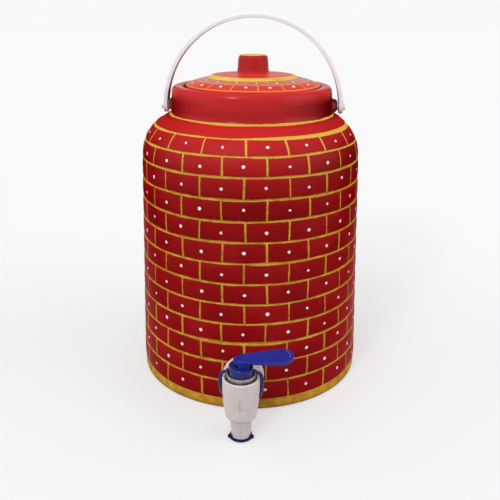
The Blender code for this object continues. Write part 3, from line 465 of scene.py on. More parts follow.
def lidPaint():
    # the same enamels on the lid: a ring of bricks, a narrow ring greyed as a painted reflection, a gold step
    # and knob top;
    # along runs 1 at the edge, 2 and 3 at the rings, 4 on the step, 5 at the knob, 6 at its top
    material, shader, add = startMaterial("brushedEnamelLid", Roughness=0.36, IOR=1.5, Specular_IOR_Level=0.1)
    brickLong, brickHigh = lid["brickSize"]
    u, v, row, upBrick = courseMap(add)
    placeMm = placeInMm(add)
    evenRow = add("Math.FLOORED_MODULO", [row, 2])
    shifted = add("Math.MULTIPLY_ADD", [evenRow, 0.5, u])
    shifted = add("Math.ADD", [shifted, -0.5 - lid["jointTurn"]])
    wobble, cloud, grain = [add("TexNoise", {"Vector": placeMm, "Scale": 1 / size, "Detail": detail}, "Fac")
                            for size, detail in ((2.2, 3.0), (22, 4.0), (1.3, 3.0))]
    wobbleMm = add("Math.MULTIPLY_ADD", [wobble, 1.0, -0.5])

    # orange lines at the edge and between the rings, and orange joints in both rings
    inRings = add("Math.COMPARE", [v, 2.0, 1.0])
    outside = add("Math.MULTIPLY_ADD", [inRings, -away, away])
    nearLines = add("Math.COMPARE", [v, 1.5, 0.8])
    offLines = add("Math.MULTIPLY_ADD", [nearLines, -away, away])
    toLine = add("Math.PINGPONG", [v, 0.5])
    lineGap = add("Math.MULTIPLY_ADD", [toLine, brickHigh, offLines])
    toJoint = add("Math.PINGPONG", [shifted, 0.5])
    jointGap = add("Math.MULTIPLY_ADD", [toJoint, brickLong, outside])
    gap = add("Math.MINIMUM", [lineGap, jointGap])
    gap = add("Math.SUBTRACT", [gap, wobbleMm])
    orange = add("MapRange", [gap, 0.88, 0.64])
    dots = brickDots(add, lid, shifted, row, upBrick, outside, wobbleMm)[0]

    # ground: red, greyed on the narrow ring as a painted reflection, darker up the knob, warmer on the crown
    ground = add("ValToRGB", [cloud], ramp=[(0.3, lid["redLow"]), (0.7, lid["redHigh"])])
    for kind, inputs, amount, tone in (("Math.COMPARE", [v, 1.5, 0.5], 0.7, "ringRed"),
                                       ("Math.COMPARE", [v, 2.5, 0.5], 0.72, "ringReflection"),
                                       ("MapRange", [v, 4.95, 5.15], 0.45, "knobRed"),
                                       ("Math.COMPARE", [v, 4.4, 0.6], 0.5, "crownRed")):
        share = add("Math.MULTIPLY", [add(kind, inputs), amount])
        ground = add("Mix", {0: share, 6: ground, 7: lid[tone]}, 2, data_type="RGBA")
    ringWobble = add("Math.MULTIPLY_ADD", [wobbleMm, 0.09, v])
    step = add("Math.COMPARE", [ringWobble, 3.56, 0.56])
    knobTop = add("Math.COMPARE", [ringWobble, 6.3, 0.22])
    dimple = add("Math.GREATER_THAN", [ringWobble, 6.52])
    gold = add("Math.MAXIMUM", [step, knobTop])
    goldTone = add("ValToRGB", [cloud], ramp=[(0.3, lid["goldLow"]), (0.7, lid["goldHigh"])])
    coats = ((orange, paint["orange"]), (gold, goldTone), (dimple, lid["clay"]), (dots, paint["white"]))
    colour = ground
    for share, over in coats:
        colour = add("Mix", {0: share, 6: colour, 7: over}, 2, data_type="RGBA")

    height = 0.0
    for share, lift in ((orange, 0.12), (gold, 0.12), (dots, 0.25), (grain, 0.1), (cloud, 0.6)):
        height = add("Math.MULTIPLY_ADD", [share, lift, height])
    relief = add("Bump", {"Height": height, "Distance": mm, "Strength": 0.8})
    fill(shader, {"Base Color": colour, "Normal": relief})
    return material


def cloudyMaterial(name, low, high, size, roughLow, roughHigh, grainSize, grainHigh, **values):
    # two tones in soft clouds, a roughness that follows them and a fine surface grain, sizes in mm
    material, shader, add = startMaterial(name, **values)
    placeMm = placeInMm(add)
    cloud, grain = [add("TexNoise", {"Vector": placeMm, "Scale": 1 / across, "Detail": detail}, "Fac")
                    for across, detail in ((size, 4.0), (grainSize, 3.0))]
    colour = add("ValToRGB", [cloud], ramp=[(0.3, low), (0.7, high)])
    rough = add("MapRange", [cloud, 0.3, 0.7, roughLow, roughHigh])
    relief = add("Bump", {"Height": grain, "Distance": grainHigh * mm})
    fill(shader, {"Base Color": colour, "Roughness": rough, "Normal": relief})
    return material


brickPaint = brickworkPaint()
lidEnamel = lidPaint()
# fired, unglazed earthenware: dull, thirsty and speckled
bareClay = cloudyMaterial("unglazedTerracotta", "#86522c", "#aa7548", 9, 0.85, 0.95, 0.9, 0.25, IOR=1.45)
# enamel over the lugs, in soft clouds of dark red
lugPaint = cloudyMaterial("wornEnamel", "#5e0a0c", "#8c1418", 5, 0.4, 0.55, 0.8, 0.15, IOR=1.5)
# moulded polypropylene with a cold white tint and a soft shine
whitePlastic = cloudyMaterial("mouldedPolypropyleneWhite", "#f3eff7", "#faf8fd", 14, 0.26, 0.36, 1.6, 0.03,
                              IOR=1.49)
# a soft ribbed strip pressed into the strap
brownStrip = cloudyMaterial("vinylStripBrown", "#8a5a3c", "#a67650", 4, 0.55, 0.7, 0.7, 0.12, IOR=1.48)
# moulded ABS with a fine satin finish: off-white, greyed to a warm grey as painted shade for the tap's low
# place on the pot
tapWhiteShaded = cloudyMaterial("mouldedAbsWhiteShaded", "#d2c4c4", "#dccfcf", 11, 0.3, 0.4, 0.9, 0.04, IOR=1.53)
# dense blue pigment, satin, with faint flow marks
bluePlastic = cloudyMaterial("mouldedPolypropyleneBlue", "#1c2788", "#26339c", 8, 0.3, 0.42, 1.1, 0.05,
                             IOR=1.49, Specular_IOR_Level=0.15)
# the raised ticks on the blade, rubbed pale by thumbs
rubbedBlue = cloudyMaterial("rubbedPolypropyleneBlue", "#6f6486", "#9a8a98", 2, 0.5, 0.65, 0.7, 0.04,
                            IOR=1.49)
# the lever's blue, darkened as painted shade for the cap and the yoke's arms, eyes and pad
shadedBlue = cloudyMaterial("mouldedPolypropyleneBlueShaded", "#191d60", "#202672", 8, 0.24, 0.34, 1.1, 0.05,
                            IOR=1.49, Specular_IOR_Level=0.3)
# the same blue, near black and dull, as painted shadow under the nozzle on the ring and its ears
shadowedBlue = cloudyMaterial("polypropyleneBlueShadowed", "#0e1140", "#151a54", 6, 0.5, 0.62, 1.1, 0.05,
                            IOR=1.49, Specular_IOR_Level=0.12)
# nickel plate gone a little dull and warm
nickelPlate = cloudyMaterial("dullNickelPlate", "#766a64", "#988c85", 3, 0.34, 0.48, 0.6, 0.03, Metallic=0.9)
# drawn wire and turned stem, bright and faintly scratched
stainless = cloudyMaterial("drawnStainlessSteel", "#9c9c9a", "#b4b4b0", 4, 0.22, 0.3, 0.5, 0.02, Metallic=1.0)
# moulded nitrile rubber: near black, chalky in the high spots
rubber = cloudyMaterial("mouldedNitrileRubber", "#161616", "#242424", 5, 0.7, 0.85, 0.6, 0.06, IOR=1.5)


def partingLine(material):
    # the mould's parting line down the front and back of the tap: a grey hair, darkest on the upper barrel
    shader = material.node_tree.nodes["Principled BSDF"]
    add = partial(addNode, material.node_tree)
    plain = shader.inputs["Base Color"].links[0].from_socket
    place = add("TexCoord", out="Object")
    across, along, up = [add("SeparateXYZ", [place], i) for i in range(3)]
    across = add("Math.ABSOLUTE", [across])
    line = add("MapRange", [across, 0.42 * mm, 0.2 * mm])
    up = add("Math.MULTIPLY", [up, 10.0])          # so that the ramp's places are in tenths of a metre
    fade = add("ValToRGB", [up], ramp=[(0.0, 0.2), (0.36, 0.25), (0.38, 0.75), (0.465, 0.75), (0.475, 0.0)])
    onBarrel = add("Math.LESS_THAN", [along, -135 * mm])
    for share in (fade, onBarrel):
        line = add("Math.MULTIPLY", [line, share])
    fill(shader, {"Base Color": add("Mix", {0: line, 6: plain, 7: "#8a7466"}, 2, data_type="RGBA")})


partingLine(tapWhiteShaded)
print("materials made")


# pot

pot = {
    "columns": 238,
    "baseRadius": 115.7, "wallTopRadius": 108.0, "bandHigh": 11.7,
    "courseHigh": 19.7, "wallCourses": 11,
    "shoulder": [(104.7, 245.7), (94.9, 259.5)],   # the two upper course lines
    "neckFoot": (80.2, 268.8), "neckShift": 1.2, "shiftFrom": 259.5, "shiftOver": 8,
    "groove": 0.4, "bulge": 0.5, "shoulderBulge": 1.0,
    "wave": 0.35, "lineStray": 0.8,                # how far the hand lets the wall and the lines stray
    "inletHigh": 41.0, "pivotHigh": 276.0,
    "lugEnd": {1: 83.5, -1: 81.3},                 # right and left, out from the neck's axis
    "inside": [(0, 11, 0), (107.0, 11, 10), (99.5, 228, 0), (96.5, 245, 6), (88, 255, 8), (72.8, 262.5, 0),
               (72.8, 284.5, 0), (58, 284.5, 0.8), (58, 289.0, 0.8), (66.9, 289.0, 0.5), (66.9, 294.0, 0)],
    # the lip falls inwards to the lid, and the neck swells a little below it
    "lip": [(67.0, 294.4), (67.4, 294.75), (68.5, 294.95), (70.4, 295.15), (72.6, 295.3), (74.2, 295.3),
            (75.4, 295.0), (76.5, 294.3), (77.3, 293.3), (77.85, 292.0), (78.2, 290.2), (78.5, 287.6),
            (78.7, 284.0), (78.7, 279.5), (78.6, 275.0), (78.8, 271.8), (79.4, 269.9), (79.9, 269.1)],
    "foot": [(115.3, 11.7, 0), (115.5, 9, 0), (115.7, 0, 3.0), (100, 0, 0)],
    # the tap's hole in the wall with the gaskets' seats: radius, and depth from the axis
    "tapHole": [(0, -140), (17.3, -140), (17.3, -113.45), (9.8, -113.45), (9.8, -105.95), (15.3, -105.95),
                (15.3, -94), (0, -94)],
}


def courseRows(top, bottom, along, bulge):
    # one course: rounded at both edges, nearly flat between
    rows = []
    span = Vector(bottom) - Vector(top)
    outward = Vector((-span.y, span.x)).normalized()
    if outward.x < 0:
        outward = -outward
    for t in (0.0, 0.02, 0.045, 0.08, 0.14, 0.26, 0.42, 0.58, 0.74, 0.86, 0.92, 0.955, 0.98):
        edge = abs(2 * t - 1)
        swell = bulge * (1 - edge ** 2.6) + pot["groove"] * (1 - edge ** 9) - pot["groove"]
        p = Vector(top) + span * t + outward * swell
        rows.append((p.x, p.y, along + t, 0))
    return rows


def potRows():
    lines = [pot["neckFoot"], pot["shoulder"][1], pot["shoulder"][0]]
    wallTop = pot["bandHigh"] + pot["wallCourses"] * pot["courseHigh"]
    for k in range(pot["wallCourses"] + 1):
        share = k / pot["wallCourses"]
        lines.append((pot["wallTopRadius"] + (pot["baseRadius"] - pot["wallTopRadius"]) * share,
                      wallTop - k * pot["courseHigh"]))
    rows = [(x, z, -3.0, 1) for x, z in rounded(pot["inside"])]
    lip = pot["lip"]
    up = [math.dist(a, b) / pot["courseHigh"] for a, b in zip(lip, lip[1:] + [pot["neckFoot"]])]
    rows += [(x, z, -sum(up[i:]), 1 if i < 2 else 0) for i, (x, z) in enumerate(lip)]
    for k, (top, bottom) in enumerate(zip(lines, lines[1:])):
        rows += courseRows(top, bottom, k, pot["shoulderBulge"] if k < 3 else pot["bulge"])
    band = pot["bandHigh"]
    rows += [(x, z, 14.02 + (band - z) / band * 0.5, 0) for x, z in rounded(pot["foot"])]
    return rows + [(60, 0, 15, 1), (0, 0, 15, 1)]


def handThrown(a, r, z, along):
    # the wheel and the hand leave slow waves; only ever inwards, so the size holds
    if r < 1 or along < 0:
        return r, z
    wave = 0.5 + 0.5 * uneven(a, 1.4, z / 60)
    stray = pot["lineStray"] if 0 < along <= 14 else 0
    return r - pot["wave"] * wave, z + uneven(a, 2.1, along * 3.1 + 7) * stray


def atPivot(side):
    # +Z of the piece points outwards along the handle's bolt
    return shift(pot["neckShift"], 0, pot["pivotHigh"]) @ spin(90 * side, "Y")


def boltHole(radius, reach):
    # a cutter that lies along the handle's bolt line
    return placed(rod(radius, -reach, reach, 32), atPivot(1))


def makePot():
    mesh = turned("paintedPot", potRows(), pot["columns"], around=paint["bricks"], nudge=handThrown)
    for vert in mesh.vertices:
        # the neck was thrown a little to the right of the wall
        share = (vert.co.z / mm - pot["shiftFrom"]) / pot["shiftOver"]
        vert.co.x += pot["neckShift"] * mm * min(1, max(0, share))
    tapHole = turned("tapHole", [(x, z, 0, 1) for x, z in pot["tapHole"]], 48)
    tapHole.transform(shift(0, 0, pot["inletHigh"]) @ spin(-90, "X"))
    for each in (mesh, tapHole):
        each.materials.append(brickPaint)
        each.materials.append(bareClay)
    mesh = carve(carve(mesh, tapHole), boltHole(3.0, 90))
    addPiece("paintedPot", mesh, [brickPaint, bareClay], "pot", "pot_body")
    for side, name in ((1, "Right"), (-1, "Left")):
        end = pot["lugEnd"][side]

        def pressed(a, r, z, along):
            return (r * (0.97 + 0.03 * uneven(a, 1, z / 4 + side)) if r > 3.2 else r), z

        lug = lathed("lug", [(3.0, end, 0), (4.6, end, 0.3), (6.1, end - 0.5, 1.2), (8.1, 77.0, 0),
                             (8.2, 76.0, 0), (3.0, 76.0, 0)], 40, nudge=pressed)
        addPiece("clayLug" + name, lug, [lugPaint], "pot", place=atPivot(side))


makePot()
print("pot made")


# lid

def makeLid():
    # radius, height and along, from the dimple of the knob out to the edge
    outline = [
        (0, 321.9, 7.0), (5.0, 321.8, 6.9), (7.8, 322.4, 6.65), (9.2, 323.3, 6.5), (10.6, 323.8, 6.3),
        (12.2, 323.7, 6.12), (13.3, 322.9, 6.04), (14.0, 321.6, 5.9), (14.4, 319.5, 5.8), (14.8, 315.5, 5.6),
        (15.1, 311.5, 5.4), (15.3, 309.2, 5.2), (15.7, 307.9, 5.1), (16.7, 307.1, 5.0), (22.0, 306.7, 4.8),
        (30.0, 306.1, 4.5), (38.0, 305.5, 4.2), (40.2, 305.2, 4.05), (41.6, 304.8, 3.9),
        (42.6, 304.1, 3.7), (43.2, 303.2, 3.4),
        (43.8, 302.8, 3.0), (46.0, 302.5, 2.8), (50.0, 301.7, 2.4), (53.4, 300.9, 2.06), (54.3, 300.6, 2.0),
        (55.2, 300.4, 1.94), (58.0, 299.6, 1.66), (61.5, 298.2, 1.3), (64.0, 296.9, 1.08), (64.9, 296.2, 1.0),
        (65.3, 295.3, 0.9), (65.3, 292.0, 0.5), (65.2, 290.2, 0.2), (64.6, 289.4, 0.1),
    ]
    rows = [(r, z, along, 0) for r, z, along in outline]
    seat = lid["seat"]
    under = rounded([(64.6, seat, 0), (55.0, seat, 1.2), (51.0, 291.5, 0), (43.0, 294.6, 0), (0, 299.6, 0)])
    rows += [(r, z, 0.0, 1) for r, z in under[1:]]

    def thrown(a, r, z, along):
        if r < 17 or along <= 0.2:
            return r, z
        return r, z + 0.25 * uneven(a, 1.7, r / 30) - 0.1

    mesh = turned("clayLid", rows, 144, around=lid["bricks"], nudge=thrown)
    addPiece("clayLid", mesh, [lidEnamel, bareClay], "lid", "lid", shift(lid["shift"], 0, 0))


makeLid()
print("lid made")


# handle

strap = {
    "middle": 2.3, "arch": 273.4, "inner": 84.0, "wide": 16.0, "archSteps": 132,
    "foot": 268.5, "footRound": 7.2, "stripFoot": 271.6, "stripHalf": 6.0, "strip": 1.3,
    "innerAt": {1: 85.1, -1: 82.9},       # right and left, out from the neck's axis
    "bolt": 22.2,                         # from under the head to the tail
}


def strapPath(foot, tailSteps):
    # (place, side, up) frames up one tail, round the arch and down the other; up is outwards
    middle, arch, inner = strap["middle"], strap["arch"], strap["inner"]
    tail = [foot + (arch - foot) * k / tailSteps for k in range(tailSteps)]
    path = [((middle + inner, 0, z), (0, 1, 0), (1, 0, 0)) for z in tail]
    for k in range(strap["archSteps"] + 1):
        t = math.pi * k / strap["archSteps"]
        place = (middle + inner * math.cos(t), 0, arch + inner * math.sin(t))
        path.append((place, (0, 1, 0), (math.cos(t), 0, math.sin(t))))
    return path + [((middle - inner, 0, z), (0, 1, 0), (-1, 0, 0)) for z in tail[::-1]]


def makeStrap():
    # a moulded strap: a channel inside for the strip, and a low rib along both edges outside
    half = strap["wide"] / 2
    path = strapPath(strap["foot"] + 0.02, 16)

    def section(i):
        z = path[i][0][2]
        under = max(0, strap["foot"] + strap["footRound"] - z) / strap["footRound"]
        w = half * max(0.08, math.sqrt(max(0, 1 - under ** 2)))
        deep = 1.6 if z > strap["stripFoot"] - 0.4 else 0.0
        c = min(strap["stripHalf"] + 0.3, w - 0.5)
        rib, dip = w - min(1.5, w / 3), w - min(1.9, w / 2.5)
        return rounded([
            (-w, 0, 0.5), (-w, 4.0, 0.7), (-rib, 4.0, 0.3), (-dip, 3.7, 0.2),
            (dip, 3.7, 0.2), (rib, 4.0, 0.3), (w, 4.0, 0.7), (w, 0, 0.5),
            (c, 0, 0.1), (c, deep + 0.01, 0.1), (-c, deep + 0.01, 0.1), (-c, 0, 0.1),
        ], True)

    shells = [carve(swept(path, section), boltHole(3.0, 95))]
    for side, start in strap["innerAt"].items():
        corners = [(4.8, start + 1.8, 0), (4.8, start, 0.2), (3.0, start, 0.2), (3.0, start + 1.8, 0)]
        shells.append(placed(lathed("boss", corners, 36), atPivot(side)))
    addPiece("handleStrap", joined(shells), [whitePlastic], "handle", "handle")


def makeStrip():
    # fine ribs run along the strip, and its cut edges wave a little
    def section(i):
        wave = 0.16 * math.sin(i * 1.9) + 0.1 * math.sin(i * 0.83)
        h = strap["stripHalf"] - 0.26 + wave
        ribs = [(-h + 0.4 + (2 * h - 0.8) * k / 12, 0.0 if k % 2 else 0.22) for k in range(13)]
        return [(-h, 0.1)] + ribs + [(h, 0.1), (h, strap["strip"]), (-h, strap["strip"])]

    mesh = carve(swept(strapPath(strap["stripFoot"], 8), section), boltHole(5.1, 95))
    addPiece("handleStrip", mesh, [brownStrip], "handle", "handle_inlay")


def makeBolts():
    for side, name in ((1, "right"), (-1, "left")):
        base = strap["innerAt"][side] + 4.3
        tail = base - strap["bolt"]
        bolt = lathed("bolt", [(0, base + 2.7, 0), (2.0, base + 2.7, 0.4), (4.5, base + 2.3, 1.4),
                               (4.5, base, 0.3), (2.7, base, 0.2), (2.7, tail, 0.5), (0, tail, 0)], 40, False)
        bolt = carve(bolt, block((-5, -0.5, base + 2.1), (5, 0.5, base + 4), 0.1, 1))
        addPiece("pivotBolt" + name.title(), bolt, [whitePlastic], "pot", "pivot_bolt_" + name, atPivot(side))


makeStrap()
makeStrip()
makeBolts()
print("handle made")


# tap

tap = {
    "reach": 157.0, "inletHigh": 41.0, "barrelTop": 62.4, "barrelFoot": 22.9, "tip": 3.5, "bore": 6.4,
    "radius": 16.6, "ledges": [(47.0, 16.0), (37.2, 15.4), (32.3, 14.9), (28.0, 14.4)],
    "turn": 8, "pivotX": 5.2, "pivotZ": 73.0, "studZ": 68.3,
}
atTap = shift(0, -tap["reach"], 0)
leverTurn = spin(tap["turn"], "Z")


def makeTapBody():
    top, foot, bore, tip = tap["barrelTop"], tap["barrelFoot"], tap["bore"], tap["tip"]
    above = tap["radius"]
    corners = [(13.2, 57.4, 0), (13.9, 57.4, 0.1), (14.1, 61.4, 0.3), (14.6, top, 0.4), (above, top, 2.0)]
    for z, r in tap["ledges"]:
        corners += [(above, z + 0.7, 0.2), (r - 0.36, z + 0.3, 0.1), (r, z - 0.3, 0.1)]
        above = r + 0.04
    corners += [(14.1, foot, 2.4), (10.4, foot, 0.4), (10.1, 21.6, 0.4), (8.8, tip, 0.9), (bore, tip, 0.5),
                (bore, 27.0, 0.3), (8.2, 27.0, 0.2), (8.2, 26.0, 0.2), (11.0, 26.0, 0.8), (11.0, 57.0, 0.3),
                (13.2, 57.0, 0.2)]
    barrel = lathed("barrel", corners, 80)
    inlet = lathed("inlet", [
        (6.2, 147.5, 0), (9.5, 147.5, 0), (9.5, 122.6, 0), (10.4, 119.9, 0.8), (18.6, 119.7, 0.9),
        (19.3, 118.6, 0.6), (19.3, 116.0, 0.5), (9.5, 116.0, 0), (9.5, 92.0, 0.6), (6.2, 92.0, 0.3)], 64)
    lay = shift(0, 0, tap["inletHigh"]) @ spin(90, "X")
    # the barrel is opened where the inlet comes in
    barrel = carve(barrel, placed(rod(6.2, 138, 157, 40), shift(0, tap["reach"], 0) @ lay))
    mesh = joined([placed(barrel, atTap), placed(inlet, lay)])
    addPiece("tapMoulding", mesh, [tapWhiteShaded], "pot", "tap_body")


def makeRingNut():
    # rolled scallops round a plated nut, which also wave its upper edge
    def fluted(a, r, z, along):
        scallop = (0.5 + 0.5 * math.cos(16 * a)) ** 1.5
        if r < 12:
            return r, z
        return r - 0.5 * scallop, z - (0.45 * scallop if z > 64.5 else 0)

    nut = lathed("ringNut", [(11.2, 66.0, 0.2), (12.1, 66.0, 0.3), (12.8, 65.3, 0.3), (13.2, 64.2, 0.4),
                             (13.2, 60.4, 0.4), (11.2, 60.4, 0.2)], 192, nudge=fluted)
    addPiece("flutedRingNut", nut, [nickelPlate], "pot", "ring_nut", atTap)


def makeCap():
    # the cap's crown is rounded and dips towards the front right; a recess under it takes the spring's end
    def dipped(a, r, z, along):
        if z < 70.5:
            return r, z
        dip = 0.5 - 0.5 * math.cos(a - math.radians(225))
        return r, z - 2.6 * dip * min(1, r / 9) * (z - 70.5) / 5

    mesh = lathed("cap", [(2.5, 75.5, 0.3), (7.0, 75.45, 0), (10.8, 75.0, 4.2), (10.9, 68.0, 0),
                          (10.7, 60.3, 0.3), (13.8, 60.1, 0.3), (13.8, 57.3, 0.3), (7.0, 57.3, 0.2),
                          (7.0, 58.5, 0.2), (2.5, 58.5, 0.2)], 80, nudge=dipped)
    pocket = block((-4.9, -5.5, 67.5), (8.2, 5.5, 90), 0.6)
    atStuds = shift(0, 0, tap["studZ"]) @ spin(90, "Y")
    atPin = leverTurn @ shift(tap["pivotX"], 0, tap["pivotZ"]) @ spin(90, "X")
    for cutter, place in ((pocket, leverTurn), (rod(1.4, 9, 14), atStuds), (rod(1.4, -14, -9), atStuds),
                          (rod(1.2, -14, 14), atPin)):
        mesh = carve(mesh, placed(cutter, place))
    # the cap takes the blue darkened as painted shade
    addPiece("bonnetCap", mesh, [shadedBlue], "pot", "tap_cap", atTap)


def smoothPath(points, steps=8, closed=False):
    # a Catmull-Rom line through the points
    out = []
    if closed:
        padded = [points[-1]] + points + points[:2]
    else:
        padded = [2 * points[0] - points[1]] + points + [2 * points[-1] - points[-2]]
    for i in range(1, len(padded) - 2):
        a, b, c, d = padded[i - 1:i + 3]
        for k in range(steps):
            t = k / steps
            out.append(0.5 * ((2 * b) + (c - a) * t + (2 * a - 5 * b + 4 * c - d) * t * t +
                              (3 * b - a - 3 * c + d) * t ** 3))
    return out if closed else out + [points[-1]]


lever = {
    "under": 78.6, "top": 81.6, "spine": 34.0,
    # the blade seen from above, in mm: a narrow far side, a fuller near side and a squarish tip
    "outline": [(-5.0, -1.2), (-4.2, 2.2), (-1.6, 4.8), (2.4, 6.4), (10.0, 8.2), (18.4, 9.7), (30.0, 11.5),
                (38.0, 12.5), (42.0, 11.9), (45.2, 9.0), (46.7, 3.6), (46.2, -2.4), (43.6, -7.6),
                (39.6, -11.2), (34.0, -12.9), (26.0, -12.6), (16.4, -11.2), (6.0, -9.2), (-0.6, -7.4),
                (-3.8, -4.8)],
    "neckCut": 3.4, "neck": [(0, 80, 0), (6.8, 80, 0.5), (6.9, 78.2, 0.6), (6.6, 76.2, 0.6), (0, 76.2, 0)],
    "cheeks": [((-3.6, -5.2, 68.5), (7.2, -2.7, 79.6)), ((-3.6, 2.7, 68.5), (7.2, 5.2, 79.6)),
               ((3.5, -4.0, 69.0), (7.2, 4.0, 79.6))],
}


def makeLever():
    # a spoon blade with a rounded rim, on a wedge-shaped neck over a forked root
    outline = smoothPath([Vector(p) for p in lever["outline"]], 6, True)
    n = len(outline)
    top, under = lever["top"], lever["under"]
    # (share of the way out from the spine, mm in from the rim, height)
    layers = [(0.5, 0, top - 0.4), (0.72, 0, top - 0.32), (1.0, 2.0, top - 0.18), (1.0, 1.2, top - 0.02),
              (1.0, 0.6, top - 0.1), (1.0, 0.2, top - 0.38), (1.0, 0.0, top - 0.85), (1.0, 0.1, under + 0.8),
              (1.0, 0.6, under + 0.25), (1.0, 1.4, under + 0.02), (0.6, 0, under)]
    verts, faces = [], []
    for share, inset, z in layers:
        for p in outline:
            spine = Vector((min(max(p.x, 0.0), lever["spine"]), 0))
            out = p - spine
            q = spine + out * share - out.normalized() * inset
            verts.append((q.x * mm, q.y * mm, z * mm))
    for i in range(len(layers) - 1):
        for k in range(n):
            m = (k + 1) % n
            faces.append((i * n + k, (i + 1) * n + k, (i + 1) * n + m, i * n + m))
    faces += [tuple(range(n)), tuple(len(verts) - 1 - k for k in range(n))]
    blade = bpy.data.meshes.new("blade")
    blade.from_pydata(verts, [], faces)

    def wedge(a, r, z, along):
        # the neck is cut off short of the pin on the tip's side
        return (min(r, lever["neckCut"] / math.sin(a)) if math.sin(a) > 0 else r), z

    shells = [weld(blade, 50), lathed("neck", lever["neck"], 64, False, wedge)]
    shells += [block(low, high, 0.7) for low, high in lever["cheeks"]]
    for k in range(7):
        # a short row of moulded ticks near the tip
        tick = block((10.55, -0.6, top - 0.25), (11.15, 0.6, top), 0.08, 1)
        shells.append(secondSlot(placed(tick, shift(32.6, 1.6, 0) @ spin(-24 + 11 * k, "Z"))))
    addPiece("spoonLever", joined(shells, 45), [bluePlastic, rubbedBlue], "lever", "lever", atTap @ leverTurn)


yoke = {
    # the right arm's line from the eye down to the pad, in mm from the tap's axis
    "arm": [(12.0, 0, 68.3), (14.2, 0.1, 67.4), (17.4, 0.6, 64.6), (18.4, 1.2, 59.0), (18.4, 2.8, 51.9),
            (17.8, 6.0, 44.4), (16.2, 9.8, 36.9), (12.8, 13.2, 29.4), (9.3, 14.2, 22.5), (6.3, 11.7, 15.4)],
    "thin": 0.95, "wide": 1.75, "deep": 1.1,   # half widths at an arm's ends and middle, and half its depth
    "eye": [(0, 12.8, 0), (2.0, 12.8, 0.5), (2.0, 11.2, 0.3), (1.1, 11.2, 0.1), (1.1, 9.3, 0.2), (0, 9.3, 0)],
    "ear": [(0, 3.5, 0), (2.3, 3.5, 0.5), (2.3, 1.2, 0.4), (0, 1.2, 0)], "earTurn": 72,
    "bore": 8.9, "outer": 11.1, "low": 1.1, "high": 3.3,
}


def makeYoke():
    # the arms are moulded in one with the eyes, the push pad and the ring; the ring and its ears carry the
    # near-black painted shadow
    bore, outer, low, high = yoke["bore"], yoke["outer"], yoke["low"], yoke["high"]

    def slimBehind(a, r, z, along):
        # from the ears back the ring is no wider than the nozzle over it
        share = min(1, max(0, (math.cos(math.radians(yoke["earTurn"])) - math.cos(a)) / 0.35))
        return bore + (r - bore) * (1 - 0.5 * share), z

    shells, shadowedParts = [], []
    for side in (1, -1):
        path = smoothPath([Vector((side * x, y, z)) for x, y, z in yoke["arm"]])
        last = len(path) - 1
        frames = []
        for i, p in enumerate(path):
            along = (path[min(i + 1, last)] - path[max(i - 1, 0)]).normalized()
            flat = along.cross(Vector((0, 1, 0))).normalized()
            frames.append((p, flat, flat.cross(along)))

        def section(i):
            share = math.sin(math.pi * i / last) ** 0.7 if 0 < i < last else 0
            w = yoke["thin"] + (yoke["wide"] - yoke["thin"]) * share
            angles = [k * math.pi / 8 for k in range(16)]
            return [(w * math.cos(a), min(w, yoke["deep"]) * math.sin(a)) for a in angles]

        eye = lathed("eye", yoke["eye"], 32, False)
        shells += [swept(frames, section), placed(eye, shift(0, 0, tap["studZ"]) @ spin(90 * side, "Y"))]
        turn, lane = math.radians(-90 + side * yoke["earTurn"]), (bore + outer) / 2
        ear = lathed("ear", yoke["ear"], 32, False)
        shadowedParts.append(placed(ear, shift(lane * math.cos(turn), lane * math.sin(turn), 0)))
    ring = [(bore, high, 0.4), (outer, high, 0.5), (outer, low, 0.5), (bore, low, 0.4)]
    shadowedParts.append(lathed("ring", ring, 72, nudge=slimBehind))
    shells += [block((-7.5, 10.8, 1.6), (7.5, 12.6, 20), 0.6), block((-4.9, 9.8, 1.7), (4.9, 11.4, 2.9), 0.3)]
    mesh = joined(shells + [secondSlot(each) for each in shadowedParts], 45)
    addPiece("pushYoke", mesh, [shadedBlue, shadowedBlue], "yoke", "yoke", atTap)


makeTapBody()
makeRingNut()
makeCap()
makeLever()
makeYoke()
print("tap made")


# CAD nodes that are right as they are get their finishes

nodeFinishes = [
    (whitePlastic, ["pivot_washer_left", "pivot_washer_right", "pivot_nut_left", "pivot_nut_right"]),
    (rubber, ["outer_gasket", "inner_gasket", "valve_seal"]),
    (stainless, ["stem_pin", "valve_stem", "valve_spring"]), (tapWhiteShaded, ["back_nut"]),
    (bluePlastic, ["lever_pin"]),
]
for finish, names in nodeFinishes:
    for name in names:
        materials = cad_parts[name].data.materials
        materials.clear()
        materials.append(finish)
print("CAD nodes finished")


# studio

studio = {
    "floorSeen": "#b4b4b5", "floorLit": "#666462",
    "lift": 0.44,                       # the seen floor's own glow, which softens the shadow on it
    "floorRadius": 14,                  # m
    "backdrop": 0.94, "world": 0.7,
    # how strong; and how far up, how far round from the front and how soft, in degrees
    "lamps": {"key": (0.8, 45, -25, 34), "front": (0.45, 30, -27, 8), "side": (1.25, 15, 80, 60),
              "far": (0.82, 8, -82, 60)},
}
# the place in metres and the lens that the course lines and outlines in the photograph agree on
eyeView = {"right": 0.0307, "back": 0.6512, "high": 0.3645, "tilt": 20.347, "roll": 0.27, "lens": 46.71}


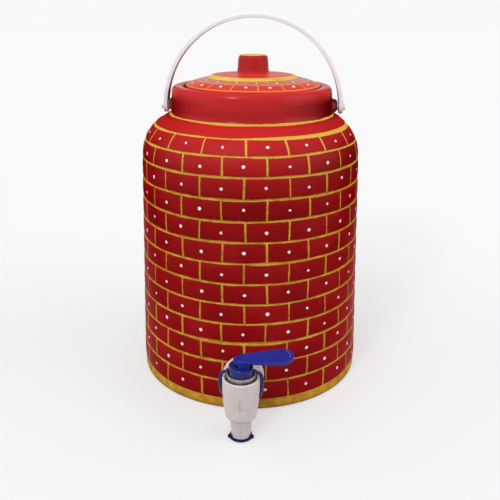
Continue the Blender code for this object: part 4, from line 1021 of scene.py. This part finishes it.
def seenRays(tree):
    # 1 for the camera and what metal and glass mirror or let through, 0 for light that lands on the object
    rays = tree.nodes.new("ShaderNodeLightPath").outputs
    seen = rays["Is Camera Ray"]
    for ray in ("Is Glossy Ray", "Is Transmission Ray"):
        seen = addNode(tree, "Math.MAXIMUM", [seen, rays[ray]])
    return seen


def makeStudio():
    bm = bmesh.new()
    bmesh.ops.create_circle(bm, cap_ends=True, segments=64, radius=studio["floorRadius"])
    floor = addObject("studioFloor", finished(bm, "floor"))
    # a matt white floor, darker to all but the camera so that it throws little light up
    material, shader, add = startMaterial("mattStudioFloor", Roughness=1.0, Specular_IOR_Level=0.0)
    seen = seenRays(material.node_tree)
    colour = add("Mix", {0: seen, 6: studio["floorLit"], 7: studio["floorSeen"]}, 2, data_type="RGBA")
    glow = add("Math.MULTIPLY", [seen, studio["lift"]])
    fill(shader, {"Base Color": colour, "Emission Strength": glow})
    floor.data.materials.append(material)

    world = bpy.data.worlds.new("studioWorld")
    scene.world = world
    world.use_nodes = True
    tree = world.node_tree
    lit, shown = studio["world"], studio["backdrop"]
    strength = addNode(tree, "Math.MULTIPLY_ADD", [seenRays(tree), shown - lit, lit])
    fill(tree.nodes["Background"], {"Color": "#ffffff", "Strength": strength})

    for name, (energy, *angles) in studio["lamps"].items():
        lamp = bpy.data.lights.new(name + "Lamp", "SUN")
        up, turn, soft = [math.radians(angle) for angle in angles]
        lamp.energy, lamp.angle = energy, soft
        towards = Vector((math.sin(turn) * math.cos(up), -math.cos(turn) * math.cos(up), math.sin(up)))
        addObject(name + "Lamp", lamp).rotation_euler = towards.to_track_quat("Z", "Y").to_euler()


def makeCamera():
    camera = bpy.data.cameras.new("camera")
    camera.lens = eyeView["lens"]
    camera.sensor_width = 36
    camera.clip_start = 0.01
    thing = addObject("camera", camera)
    place = Matrix.Translation((eyeView["right"], -eyeView["back"], eyeView["high"]))
    yaw = math.degrees(math.atan2(eyeView["right"], eyeView["back"]))
    thing.matrix_world = place @ spin(yaw, "Z") @ spin(90 - eyeView["tilt"], "X") @ spin(eyeView["roll"], "Z")
    scene.camera = thing


makeStudio()
makeCamera()
scene.view_settings.view_transform = "Standard"
print("studio made")
